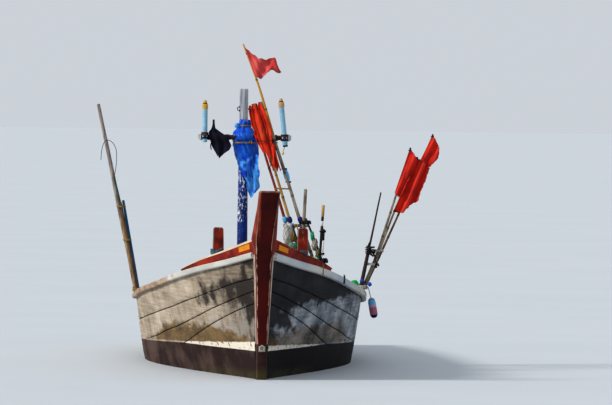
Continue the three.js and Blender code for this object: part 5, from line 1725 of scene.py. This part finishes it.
def build_netting():
    for name, rows, node in (("net_bag_mesh", NET_LUMPS, "net_bag"), ("stick_netting", STICK_NETS, None)):
        net = Shape()
        names = []
        for centre, size, body, strands, seed in rows:
            for kind in (body, strands):
                if kind not in names:
                    names.append(kind)
            net.mark = names.index(body)
            lump(net, centre, size, seed)
            net.mark = names.index(strands)
            net_strands(net, centre, size, seed)
        net.piece(name, names, slot="netting", stands_for=(node,) if node else (), sharp=60)
    cords = Shape()
    cords.rope([(0.287, -1.790, 1.191), (0.303, -1.806, 1.143), (0.323, -1.812, 1.083),
                (0.339, -1.806, 1.018), (0.329, -1.800, 0.953), (0.347, -1.812, 0.885)], 0.006, 0.04)
    cords.piece("net_drawstring", "rope_dark", slot="netting")


def build_sticks():
    grey = Shape()
    cane(grey, GREY_STICK, (0.014, 0.0138, 0.013), 0.0, 21, 12, 0.001)
    grey.mark = 1
    cane(grey, LEANING_STICK, (0.009, 0.009, 0.008), 0.0, 22, 10, 0.003)
    grey.mark = 2
    grey.rope(ring_path(0.3875, -1.915, 0.028, 0.030, 1.199, 1.227, 2.6, 0.2), 0.006, 0.04)
    knot(grey, (0.4135, -1.944, 1.213), 0.018, 0.0055, 3)
    knot(grey, (0.351, -1.944, 1.210), 0.012, 0.005, 4)
    grey.piece("grey_stick_pair", ("cane_grey", "cane_dark", "rope_dark"), slot="bamboo",
               stands_for=("grey_sticks",))
    brown = Shape()
    foot, head = Vector((0.494, -2.0, foredeck_top(-2.0) - 0.008)), Vector((0.529, -2.0, 1.356))

    def at(z):
        return foot + (head - foot) * ((z - foot.z) / (head.z - foot.z))

    for low, high, radius, mark in ((1.262, 1.356, 0.0125, 0), (1.226, 1.262, 0.0115, 1),
                                    (1.186, 1.226, 0.0095, 2), (foot.z, 1.186, 0.0120, 1)):
        brown.mark = mark
        cane(brown, [at(low), at((low + high) / 2), at(high)], (radius,) * 3, 0.0, 31 + mark, 12, 0.0005)
    brown.mark = 1
    cane(brown, [(0.531, -2.006, 1.069), (0.532, -2.006, 1.116), (0.533, -2.006, 1.163)],
         (0.010, 0.010, 0.009), 0, 35)
    brown.mark = 2
    cane(brown, [(0.522, -2.008, 0.941), (0.527, -2.008, 1.004), (0.532, -2.008, 1.067)],
         (0.0085, 0.0085, 0.0085), 0, 36)
    brown.mark = 1
    for z in (1.143, 0.961):
        band(brown, (at(z).x + 0.008, -2.004, 0.024, 0.017, z - 0.008, z + 0.008, 2.4, 0.1), 0.006, 0.0035)
    knot(brown, (0.5455, -2.008, 0.9065), 0.022, 0.008, 12)
    brown.piece("brown_stick_handle", ("cane", "black_plastic", "white_plastic"), slot="bamboo",
                stands_for=("brown_stick",))


# Poles, flags and float on the port rail


def rail_top(y):
    """The height of the rail's cap."""
    return read("sheer_z", share_at(y, 0.6)) + 0.014


PORT_FOOT_X, PORT_FOOT_Y = 0.917, -0.6
PORT_POLES = (
    # foot offset x, foot offset y, head x, head z, foot radius, head radius, bow, where it bows, finish
    (0.000, -0.030, 1.303, 1.813, 0.013, 0.007, 0.020, 0.55, "cane_grey"),
    (0.014, 0.000, 1.364, 1.735, 0.012, 0.006, -0.009, 1.60, "cane_grey"),
    (0.014, 0.030, 1.493, 1.927, 0.012, 0.006, 0.008, 0.60, "cane_brown"),
    (-0.018, -0.060, 1.060, 1.448, 0.017, 0.006, 0.0, 1.00, "cane_dark"),
)


def port_place(row, z):
    """The middle of a port pole at a height."""
    foot = Vector((PORT_FOOT_X + row[0], PORT_FOOT_Y + row[1], rail_top(PORT_FOOT_Y) - 0.004))
    head = Vector((row[2], PORT_FOOT_Y + row[1] * 1.3, row[3]))
    share = (z - foot.z) / (head.z - foot.z)
    bow = row[6] * math.sin(math.pi * min(max(share, 0), 1) ** row[7])
    return foot.lerp(head, share) + Vector((bow, 0, 0))


def build_port_gear():
    base = rail_top(PORT_FOOT_Y)
    for k, row in enumerate(PORT_POLES):
        stick = Shape()
        thick, thin = row[4], row[5]
        if k == 3:
            cane(stick, [port_place(row, z) for z in (base - 0.004, 0.82, 0.997)],
                 (thick, thick * 0.95, thick * 0.85), 0.0, 41, 12, 0.001)
            cane(stick, [port_place(row, z) for z in (0.987, 1.21, row[3])], (0.009, 0.0075, thin),
                 0.0, 42, 10, 0.002)
        else:
            cane(stick, [port_place(row, z) for z in (base - 0.004, 0.90, 1.10, 1.30, 1.50, row[3])],
                 (thick, thick * 0.92, thick * 0.8, thin * 1.4, thin * 1.2, thin), 0.21, 43 + k, 11, 0.0025)
        stick.piece(f"port_pole_{k + 1}", row[8], slot="bamboo",
                    stands_for=("port_poles",) if k == 0 else ())
    ties = Shape()
    ties.rope(ring_path(PORT_FOOT_X, PORT_FOOT_Y - 0.016, 0.040, 0.066, base + 0.002, base + 0.034, 3.4, 0.3),
              0.0058, 0.04)
    for x, half_x, half_y, low, high in ((1.022, 0.066, 0.066, 0.954, 0.970),
                                         (0.989, 0.046, 0.062, 0.838, 0.856)):
        ties.rope(ring_path(x, PORT_FOOT_Y - 0.012, half_x, half_y, low, high, 2.4, 0.3), 0.0045, 0.03)
    ties.mark = 1
    tied = Vector((1.035, PORT_FOOT_Y - 0.060, 0.845))
    knot(ties, tied, 0.016, 0.005, 21)
    for start in ((1.000, PORT_FOOT_Y - 0.062, 0.850), (0.998, PORT_FOOT_Y - 0.070, 0.957)):
        ties.rope([start, Vector(start).lerp(tied, 0.5), tied], 0.004, 0.03)
    knot(ties, (0.998, PORT_FOOT_Y - 0.080, 0.957), 0.020, 0.0065, 22)
    for low, high in (((0.959, -0.690, 0.989), (0.971, -0.684, 1.031)),
                      ((0.961, -0.700, 0.983), (1.013, -0.690, 0.993)),
                      ((0.959, -0.700, 0.949), (1.003, -0.694, 0.915))):
        middle = Vector(low).lerp(Vector(high), 0.5) + Vector((0, -0.002, 0.002))
        ties.tube([low, middle, high], [0.010, 0.009, 0.006], 8)
    ties.mark = 2
    ties.rope(ring_path(0.959, PORT_FOOT_Y - 0.080, 0.021, 0.021, 0.936, 0.999, 4.4, 0.0), 0.005, 0.03)
    ties.piece("port_pole_ties", ("rope_pale", "rope_dark", "rope_dark"), slot="netting")
    floats = Shape()
    float_body(floats, (0.905, -0.672, base + 0.056), (0.915, -0.672, base + 0.084), 0.017, dents=0.0006)
    float_body(floats, (0.962, -0.668, base + 0.034), (0.990, -0.668, base + 0.050), 0.018, dents=0.0006)
    floats.mark = 1
    heap = (0.842, -0.80, rail_top(-0.8) + 0.028), (0.032, 0.036, 0.030), 9.0
    lump(floats, *heap)
    net_strands(floats, *heap, 8)
    floats.piece("rail_floats", ("blue_float", "green_float"), slot="float_plastic")
    build_port_flags()
    build_hanging_float(base)


PORT_FLAGS = (
    # node, cloth top edge, cloth bottom edge, y, flat size
    ("port_flag_1", [(1.298, 1.813), (1.324, 1.780), (1.352, 1.744), (1.362, 1.724)],
     [(1.175, 1.444), (1.192, 1.424), (1.210, 1.412), (1.228, 1.416)], -0.650, (0.07, 0.38)),
    ("port_flag_2", [(1.360, 1.735), (1.390, 1.721), (1.423, 1.705), (1.446, 1.681), (1.468, 1.651)],
     [(1.168, 1.288), (1.219, 1.275), (1.260, 1.287), (1.311, 1.342), (1.365, 1.380)], -0.612, (0.17, 0.44)),
    ("port_flag_3", [(1.490, 1.926), (1.513, 1.896), (1.532, 1.864), (1.545, 1.829)],
     [(1.370, 1.676), (1.409, 1.653), (1.472, 1.666), (1.543, 1.739)], -0.573, (0.11, 0.26)),
)


def build_port_flags():
    def folds(k):
        if k == 1:
            return lambda u, v: 0.026 * math.sin(v * 9.5 + 0.6) + 0.010 * math.sin(v * 21 + u * 2) - 0.010 * v
        return lambda u, v: 0.012 * math.sin(v * 8 + u * 3 + k) + 0.004 * math.sin(v * 19)

    for k, (node, top, bottom, y, flat) in enumerate(PORT_FLAGS):
        cloth(f"{node}_cloth", edge_patch(top, bottom, y, folds(k)), 40, 44, 0.0016, "flag_red",
              [f"port_pole_{k + 1}"], flat, "hung", slot="flag_cloth", stands_for=(node,))
    strings = Shape()
    for k, (z0, z1) in enumerate(((1.800, 1.475), (1.726, 1.296), (1.918, 1.677))):
        for z in (z0, z1):
            spot = port_place(PORT_POLES[k], z)
            band(strings, (spot.x, spot.y - 0.003, 0.012, 0.014, z - 0.004, z + 0.004, 2.2, 0), 0.004, 0.0022)
        spot = port_place(PORT_POLES[k], PORT_POLES[k][3] - 0.004)
        strings.mark = 1
        strings.tube([spot, spot + Vector((0.002, 0, 0.014))], [0.0085, 0.006], 8)
        strings.mark = 0
    strings.piece("port_flag_ties", ("rope_dark", "black_plastic"), slot="netting")


def build_hanging_float(base):
    """A foam float in bands of colour, hung over the rail by a string."""
    body = Shape()

    def at(z):
        return Vector((0.994 + (0.560 - z) * 0.18, PORT_FOOT_Y, z))

    bands = ((0.568, 0.556, 0), (0.556, 0.546, 1), (0.546, 0.516, 0), (0.516, 0.490, 3), (0.490, 0.428, 1),
             (0.428, 0.402, 2))
    table = ((0.402, 0.014), (0.407, 0.022), (0.426, 0.032), (0.47, 0.0325), (0.53, 0.032), (0.556, 0.026),
             (0.568, 0.012))
    for high, low, mark in bands:
        body.mark = mark
        levels = spread(low, high - low, 4)
        body.tube([at(z) for z in levels], [along_table(table, z)[1] for z in levels], 18)
    body.mark = 4
    string = ((0.982, 0.600), (0.966, base + 0.014), (0.945, base + 0.022), (0.925, base + 0.020))
    body.rope([at(0.558)] + [(x, PORT_FOOT_Y, z) for x, z in string], 0.0042, 0.03)
    kinds = ("sky_float", "pink_float", "navy_float", "lilac_float", "rope_pale")
    body.piece("hanging_float_foam", kinds, slot="float_plastic", stands_for=("hanging_float",), sharp=50)


# Poles on the starboard rail


def build_starboard_gear():
    base = rail_top(0.2)
    long_pole = Shape()
    cane(long_pole, [(-0.952, 0.200, base - 0.004), (-1.021, 0.200, 0.90), (-1.121, 0.200, 1.350),
                     (-1.208, 0.200, 1.754), (-1.295, 0.200, 2.157)], (0.023, 0.0215, 0.019, 0.0165, 0.014),
         0.0, 51, 14, 0.004)
    long_pole.piece("starboard_long_pole", "pole_wood", slot="bamboo",
                    stands_for=("starboard_poles",))
    short_pole = Shape()
    cane(short_pole, [(-0.942, 0.166, base - 0.004), (-1.020, 0.166, 0.96), (-1.097, 0.166, 1.330)],
         (0.012, 0.011, 0.010), 0.0, 52, 10, 0.004)
    short_pole.piece("starboard_short_pole", "cane_brown", slot="bamboo")
    pipe = Shape()
    foot, head = Vector((-0.932, 0.230, base - 0.004)), Vector((-1.075, 0.230, 1.346))
    shares = spread(0, 1, 12) + [0.995, 0.97]
    pipe.tube([foot.lerp(head, share) for share in shares], [0.011] * 13 + [0.0085, 0.0080], 16)
    pipe.piece("starboard_pipe", "pipe_blue", slot="float_plastic")
    rod = Shape()
    rod.tube([(-1.086, 0.166, 1.282), (-1.103, 0.166, 1.342), (-1.125, 0.168, 1.430), (-1.155, 0.170, 1.541)],
             [0.006, 0.0075, 0.0075, 0.0065], 10)
    rod.mark = 1
    line = [(-1.155, 0.170, 1.537), (-1.142, 0.168, 1.610), (-1.135, 0.166, 1.685), (-1.139, 0.165, 1.770),
            (-1.168, 0.166, 1.830), (-1.210, 0.170, 1.854), (-1.244, 0.176, 1.828), (-1.262, 0.178, 1.760),
            (-1.267, 0.180, 1.684)]
    rod.tube(smooth_path(line, 0.02), 0.0026, 6)
    rod.piece("starboard_rod", ("pipe_green", "rope_dark"), slot="bamboo")
    ties = Shape()
    ties.rope(ring_path(-0.944, 0.198, 0.040, 0.052, base + 0.002, base + 0.038, 3.6, 0.3), 0.0058, 0.04)
    ties.rope(ring_path(-1.038, 0.192, 0.034, 0.046, 1.006, 1.018, 2.4, 0.3), 0.004, 0.03)
    ties.rope(ring_path(-1.092, 0.184, 0.036, 0.050, 1.288, 1.302, 2.4, 0.3), 0.004, 0.03)
    ties.piece("starboard_ties", "rope_tan", slot="netting")


# Engine


PIVOT_Y, PIVOT_Z = 3.6, 0.56
SHAFT_Z = 0.59
TANK_STRAP = ((0.122, 0.719), (0.1355, 0.742), (0.1355, 0.79), (0.118, 0.812), (0.07, 0.821),
              (0.02, 0.821), (-0.026, 0.812), (-0.0435, 0.79), (-0.0435, 0.742), (-0.030, 0.719))


def build_engine():
    for node in ("engine_bracket", "swivel_yoke", "engine_bed"):
        dress(node, "rusty_steel")
    dress("engine_block", "engine_metal")
    dress("tail_tube", "tube_metal")
    dress("propeller", "bronze")
    tank = Shape()
    rings = []
    for z, inset in ((0.7172, 0.016), (0.7200, 0.010), (0.728, 0.004), (0.740, 0.0005), (0.765, 0.0),
                     (0.792, 0.0), (0.800, 0.004), (0.808, 0.010), (0.815, 0.018), (0.8185, 0.026),
                     (0.819, 0.034)):
        ring = []
        for sx, sy in ((1, 1), (-1, 1), (-1, -1), (1, -1)):
            turns = [k / 5 * math.pi / 2 for k in range(6)]
            for t in turns if sx * sy > 0 else turns[::-1]:
                ring.append(Vector((0.046 + sx * (0.088 - inset - 0.03 + 0.03 * math.cos(t)),
                                    3.31 + sy * (0.125 - inset - 0.03 + 0.03 * math.sin(t)), z)))
        rings.append(ring)
    tank.loft(rings)
    tank.mark = 1
    tank.tube([(0.06, 3.27, 0.817), (0.06, 3.27, 0.823), (0.06, 3.27, 0.836), (0.06, 3.27, 0.840)],
              [0.026, 0.030, 0.030, 0.024], 20)
    for y in (3.262, 3.358):
        tank.box((-0.043, y - 0.010, 0.7), (-0.0425, y - 0.009, 0.701), 0.0001)
        tank.tube([(x, y, z) for x, z in TANK_STRAP], 0.0035, 6)
    for y in (3.25, 3.37):
        tank.box((0.060, y - 0.014, 0.6402), (0.090, y + 0.014, 0.7192), 0.003)
    tank.piece("fuel_tank_body", ("tank_red", "engine_black"), body="engine", slot="tank_paint",
               stands_for=("fuel_tank",), sharp=40)
    build_engine_details()


def build_engine_details():
    black = Shape()

    def round_shaft(radius, y, t):
        return radius * math.cos(t), y, SHAFT_Z + radius * math.sin(t)

    for radius, y in ((0.094, 3.1185), (0.070, 3.1165), (0.046, 3.1145)):
        black.tube([round_shaft(radius, y, t) for t in angles(28, 1)], 0.0036, 6)
    for t in angles(9):
        black.tube([round_shaft(0.030, 3.116, t), round_shaft(0.092, 3.116, t + 0.5)], 0.0032, 6)
    black.tube([(0, y, SHAFT_Z) for y in (3.121, 3.100, 3.094)], [0.026, 0.024, 0.018], 20)
    black.tube(smooth_path([(-0.176, 3.286, 0.702), (-0.196, 3.284, 0.712), (-0.204, 3.250, 0.690),
                            (-0.172, 3.200, 0.640), (-0.112, 3.170, 0.602)], 0.01), 0.0042, 8)
    black.tube([(-0.170, 3.286, 0.700), (-0.188, 3.286, 0.706), (-0.206, 3.286, 0.712)],
               [0.009, 0.011, 0.008], 10)
    black.piece("engine_cowl_details", "engine_black", body="engine", slot="engine_metal")
    steel = Shape()
    for x in (-0.080, 0.080):
        for y in (3.165, 3.455):
            steel.tube([(x, y, 0.4903), (x, y, 0.504)], 0.011, 6)
            steel.tube([(x, y, 0.504 - 0.001), (x, y, 0.504 + 0.010)], 0.006, 10)
    for x in (-0.105, 0.105):
        for y in (3.125, 3.485):
            steel.tube([(x, y, 0.4898), (x, y, 0.498)], 0.010, 6)
    for k in range(6):
        t = 2 * math.pi * (k + 0.5) / 6
        steel.tube([(0.046 * math.cos(t), 3.4885, 0.56 + 0.046 * math.sin(t)),
                    (0.046 * math.cos(t), 3.4960, 0.56 + 0.046 * math.sin(t))], 0.0065, 6)
    exhaust = [(-0.115, 3.46, 0.672), (-0.115, 3.49, 0.672), (-0.128, 3.502, 0.650), (-0.135, 3.506, 0.615)]
    steel.tube(smooth_path(exhaust, 0.008), 0.017, 14)
    for z in (0.6405, 0.6995):
        for x in (-0.186, -0.044):
            steel.stud((x, 3.3705, z), (0, 0, 1), 0.006, 0.004)
    steel.piece("engine_bolts", "rusty_steel", body="engine", slot="steel")
    hull_bolts = Shape()
    for x in (-0.072, 0.072):
        for y in (3.565, 3.655):
            hull_bolts.tube([(x, y, 0.4555), (x, y, 0.461)], 0.009, 6)
    hull_bolts.piece("bracket_bolts", "rusty_steel", slot="steel")
    pins = Shape()
    for sign in (1, -1):
        pins.tube([(sign * 0.0485, PIVOT_Y, PIVOT_Z), (sign * 0.0535, PIVOT_Y, PIVOT_Z)], 0.019, 16)
    pins.piece("trunnion_washers", "rusty_steel", body="swivel", slot="steel")
    bar = Shape()
    handle = [(0.070, 3.118, 0.4835), (0.070, 3.040, 0.500), (0.0665, 2.985, 0.562), (0.0625, 2.930, 0.650),
              (0.060, 2.890, 0.698), (0.060, 2.800, 0.742), (0.060, 2.765, 0.757)]
    bar.tube(smooth_path(handle, 0.02), 0.0138, 14)
    bar.mark = 1
    grip = [(0.060, 2.772, 0.753, 0.0150), (0.060, 2.768, 0.755, 0.0172), (0.060, 2.735, 0.768, 0.0164),
            (0.060, 2.700, 0.782, 0.0172), (0.060, 2.665, 0.796, 0.0164), (0.060, 2.652, 0.801, 0.0176),
            (0.060, 2.648, 0.803, 0.0140)]
    bar.tube([row[:3] for row in grip], [row[3] for row in grip], 16)
    bar.mark = 2
    bar.box((0.044, 3.108, 0.4905), (0.096, 3.140, 0.4985), 0.002)
    cable = [(0.076, 2.790, 0.762), (0.080, 2.840, 0.738), (0.080, 2.900, 0.712), (0.084, 2.950, 0.640),
             (0.088, 3.020, 0.530), (0.094, 3.080, 0.510)]
    bar.tube(smooth_path(cable, 0.015), 0.003, 6)
    bar.piece("tiller_bar", ("tube_metal", "black_plastic", "engine_black"), body="engine",
              slot="steel", stands_for=("tiller",))
    nut = Shape()
    nut.tube([(0, 5.832, PIVOT_Z), (0, 5.846, PIVOT_Z)], 0.0165, 6)
    nut.piece("propeller_nut", "bronze", body="propeller", slot="bronze")


# Stage


WATER_INSET = 0.012


def waterline_loop(count):
    """The hull's outline on the water, a little inside its skin, from the stem down the port side and on."""
    stem_back = stem_back_y(0)
    stem_front = stem_back - STEM_DEPTH + WATER_INSET
    half = [Vector((0, stem_front, 0)), Vector((0.030, stem_front, 0)), Vector((0.034, stem_back, 0))]
    half += [skin(share, 0) + Vector((-WATER_INSET, 0, 0)) for share in spread(0, 1, count)]
    half.append(Vector((0, STERN_Y - WATER_INSET, 0)))
    return half + [Vector((-p.x, p.y, 0)) for p in half[-2:0:-1]]


def build_floor_plane():
    """A pale floor at the waterline, with the hull's outline cut out of it."""
    inner = waterline_loop(60)
    count = len(inner)
    mesh = bpy.data.meshes.new("floor")
    rings = [inner]
    for wide, long in ((1.6, 4.6), (4, 8), (14, 18), (80, 80), (2000, 2000)):
        rings.append([Vector((wide * math.sin(t), 0.1 - long * math.cos(t), 0)) for t in angles(count)])
    faces = []
    for i in range(len(rings) - 1):
        for k in range(count):
            n = (k + 1) % count
            faces.append((i * count + k, i * count + n, (i + 1) * count + n, (i + 1) * count + k))
    mesh.from_pydata([p for ring in rings for p in ring], [], faces)
    mesh.materials.append(finish("floor_pale"))
    floor = bpy.data.objects.new("floor", mesh)
    bpy.context.scene.collection.objects.link(floor)


FOCAL_PIXELS = 5805
IMAGE_WIDTH, IMAGE_HEIGHT = 612, 405
HORIZON_PIXEL = 122
SENSOR = 36.0
EYE_HEIGHT = 2.02
HEADING = math.radians(2.15)
BOAT_LEAN = 0.012
AXIS_X = 0.333


def build_camera(sizes):
    """The camera of the photograph, leaned with the boat, which heels a little to port."""
    lean = Matrix.Rotation(-BOAT_LEAN, 3, "Y")
    ahead = Vector((math.sin(HEADING), math.cos(HEADING), 0))
    right = lean @ Vector((math.cos(HEADING), -math.sin(HEADING), 0))
    up = lean @ Vector((0, 0, 1))
    pitch = (IMAGE_HEIGHT / 2 - HORIZON_PIXEL) / FOCAL_PIXELS
    aim = (lean @ ahead - up * pitch).normalized()
    up = right.cross(aim)
    place = lean @ (Vector((AXIS_X, STEM_HEAD[0], EYE_HEIGHT)) - ahead * sizes.camera_distance)
    data = bpy.data.cameras.new("camera")
    data.sensor_width = SENSOR
    data.lens = FOCAL_PIXELS / IMAGE_WIDTH * SENSOR
    data.clip_end = 6000
    camera = bpy.data.objects.new("camera", data)
    turn = Matrix((right, up, -aim)).transposed()
    camera.matrix_world = Matrix.Translation(place) @ turn.to_4x4()
    bpy.context.scene.collection.objects.link(camera)
    bpy.context.scene.camera = camera


SKY_COLOUR, SKY_STRENGTH = paint(214, 219, 226), 0.78
SUN_COLOUR, SUN_STRENGTH = (1.0, 0.965, 0.92), 2.6
SUN_SPREAD = math.radians(12)
SUN_WAY = (-0.80, -0.34, 0.52)


def build_lights():
    """A pale sky all round, and a soft sun off the boat's starboard bow."""
    view = bpy.context.scene.view_settings
    view.view_transform = "Standard"
    view.look = "Medium High Contrast"
    world = bpy.data.worlds.new("studio")
    bpy.context.scene.world = world
    world.use_nodes = True
    back = world.node_tree.nodes["Background"]
    back.inputs["Color"].default_value = (*SKY_COLOUR, 1)
    back.inputs["Strength"].default_value = SKY_STRENGTH
    data = bpy.data.lights.new("key", "SUN")
    data.energy = SUN_STRENGTH
    data.angle = SUN_SPREAD
    data.color = SUN_COLOUR
    key = bpy.data.objects.new("key", data)
    key.rotation_euler = Vector(SUN_WAY).to_track_quat("Z", "Y").to_euler()
    bpy.context.scene.collection.objects.link(key)


# Operators


def sizes_of(context):
    return context.scene.longtail_sizes


class LONGTAIL_OT_camera(bpy.types.Operator):
    """Sets the camera at the photograph's viewing angle"""

    bl_idname = "longtail.camera"
    bl_label = "Camera"

    def execute(self, context):
        build_camera(sizes_of(context))
        return {"FINISHED"}


class LONGTAIL_OT_stage(bpy.types.Operator):
    """Makes the floor at the waterline and the lights"""

    bl_idname = "longtail.stage"
    bl_label = "Stage"

    def execute(self, context):
        build_floor_plane()
        build_lights()
        return {"FINISHED"}


class LONGTAIL_OT_bitts(bpy.types.Operator):
    """Makes the two mooring bitts with their rope turns"""

    bl_idname = "longtail.bitts"
    bl_label = "Bitts"

    def execute(self, context):
        build_bitts(sizes_of(context))
        return {"FINISHED"}


class LONGTAIL_OT_mast(bpy.types.Operator):
    """Makes the mast, its cross arm and the two lamps"""

    bl_idname = "longtail.mast"
    bl_label = "Mast and lamps"

    def execute(self, context):
        build_mast()
        return {"FINISHED"}


class LONGTAIL_OT_wraps(bpy.types.Operator):
    """Makes the plastic film round the mast and the cloth on the arm"""

    bl_idname = "longtail.wraps"
    bl_label = "Film and cloth"

    def execute(self, context):
        build_wraps()
        return {"FINISHED"}


class LONGTAIL_OT_marker_poles(bpy.types.Operator):
    """Makes the marker poles on the foredeck with their flags, floats, netting and sticks"""

    bl_idname = "longtail.marker_poles"
    bl_label = "Marker poles"

    def execute(self, context):
        build_marker_poles()
        return {"FINISHED"}


class LONGTAIL_OT_port_gear(bpy.types.Operator):
    """Makes the poles, flags and floats on the port rail"""

    bl_idname = "longtail.port_gear"
    bl_label = "Port rail gear"

    def execute(self, context):
        build_port_gear()
        return {"FINISHED"}


class LONGTAIL_OT_starboard_gear(bpy.types.Operator):
    """Makes the poles on the starboard rail"""

    bl_idname = "longtail.starboard_gear"
    bl_label = "Starboard rail gear"

    def execute(self, context):
        build_starboard_gear()
        return {"FINISHED"}


class LONGTAIL_OT_engine(bpy.types.Operator):
    """Finishes the engine, its tank, tail tube, tiller and propeller"""

    bl_idname = "longtail.engine"
    bl_label = "Engine"

    def execute(self, context):
        build_engine()
        return {"FINISHED"}


class LONGTAIL_OT_planking(bpy.types.Operator):
    """Makes the planks of both sides with their seams, butts and nails"""

    bl_idname = "longtail.planking"
    bl_label = "Planking"

    def execute(self, context):
        build_planking(sizes_of(context))
        return {"FINISHED"}


class LONGTAIL_OT_stem(bpy.types.Operator):
    """Makes the stem post with its worn edges and the towing eye"""

    bl_idname = "longtail.stem"
    bl_label = "Stem post"

    def execute(self, context):
        build_stem()
        return {"FINISHED"}


class LONGTAIL_OT_rails(bpy.types.Operator):
    """Makes the rub rails, their caps and the washboards"""

    bl_idname = "longtail.rails"
    bl_label = "Rails and washboards"

    def execute(self, context):
        build_rails(sizes_of(context))
        return {"FINISHED"}


class LONGTAIL_OT_decks(bpy.types.Operator):
    """Makes the decks, bottom boards and thwarts, and finishes the frames"""

    bl_idname = "longtail.decks"
    bl_label = "Decks and frames"

    def execute(self, context):
        build_decks()
        return {"FINISHED"}


OPERATORS = (LONGTAIL_OT_camera, LONGTAIL_OT_planking, LONGTAIL_OT_stem, LONGTAIL_OT_rails, LONGTAIL_OT_decks,
             LONGTAIL_OT_bitts, LONGTAIL_OT_mast, LONGTAIL_OT_wraps, LONGTAIL_OT_marker_poles,
             LONGTAIL_OT_port_gear, LONGTAIL_OT_starboard_gear, LONGTAIL_OT_engine, LONGTAIL_OT_stage)


class LONGTAIL_PT_panel(bpy.types.Panel):
    """Lists the boat's sizes, colours and pieces"""

    bl_idname = "LONGTAIL_PT_panel"
    bl_label = "Longtail boat"
    bl_space_type = "VIEW_3D"
    bl_region_type = "UI"
    bl_category = "Longtail boat"

    def draw(self, context):
        for group in (context.scene.longtail_sizes, context.scene.longtail_paint):
            for name in group.bl_rna.properties.keys():
                if name not in ("rna_type", "name"):
                    self.layout.prop(group, name)
        for operator in OPERATORS:
            self.layout.operator(operator.bl_idname)


CLASSES = (LongtailSizes, LongtailPaint, *OPERATORS, LONGTAIL_PT_panel)


def register():
    for cls in CLASSES:
        bpy.utils.register_class(cls)
    bpy.types.Scene.longtail_sizes = PointerProperty(type=LongtailSizes)
    bpy.types.Scene.longtail_paint = PointerProperty(type=LongtailPaint)


def unregister():
    del bpy.types.Scene.longtail_paint
    del bpy.types.Scene.longtail_sizes
    for cls in reversed(CLASSES):
        bpy.utils.unregister_class(cls)


def main():
    register()
    for operator in OPERATORS:
        group, name = operator.bl_idname.split(".")
        getattr(getattr(bpy.ops, group), name)()


if __name__ == "__main__":
    main()
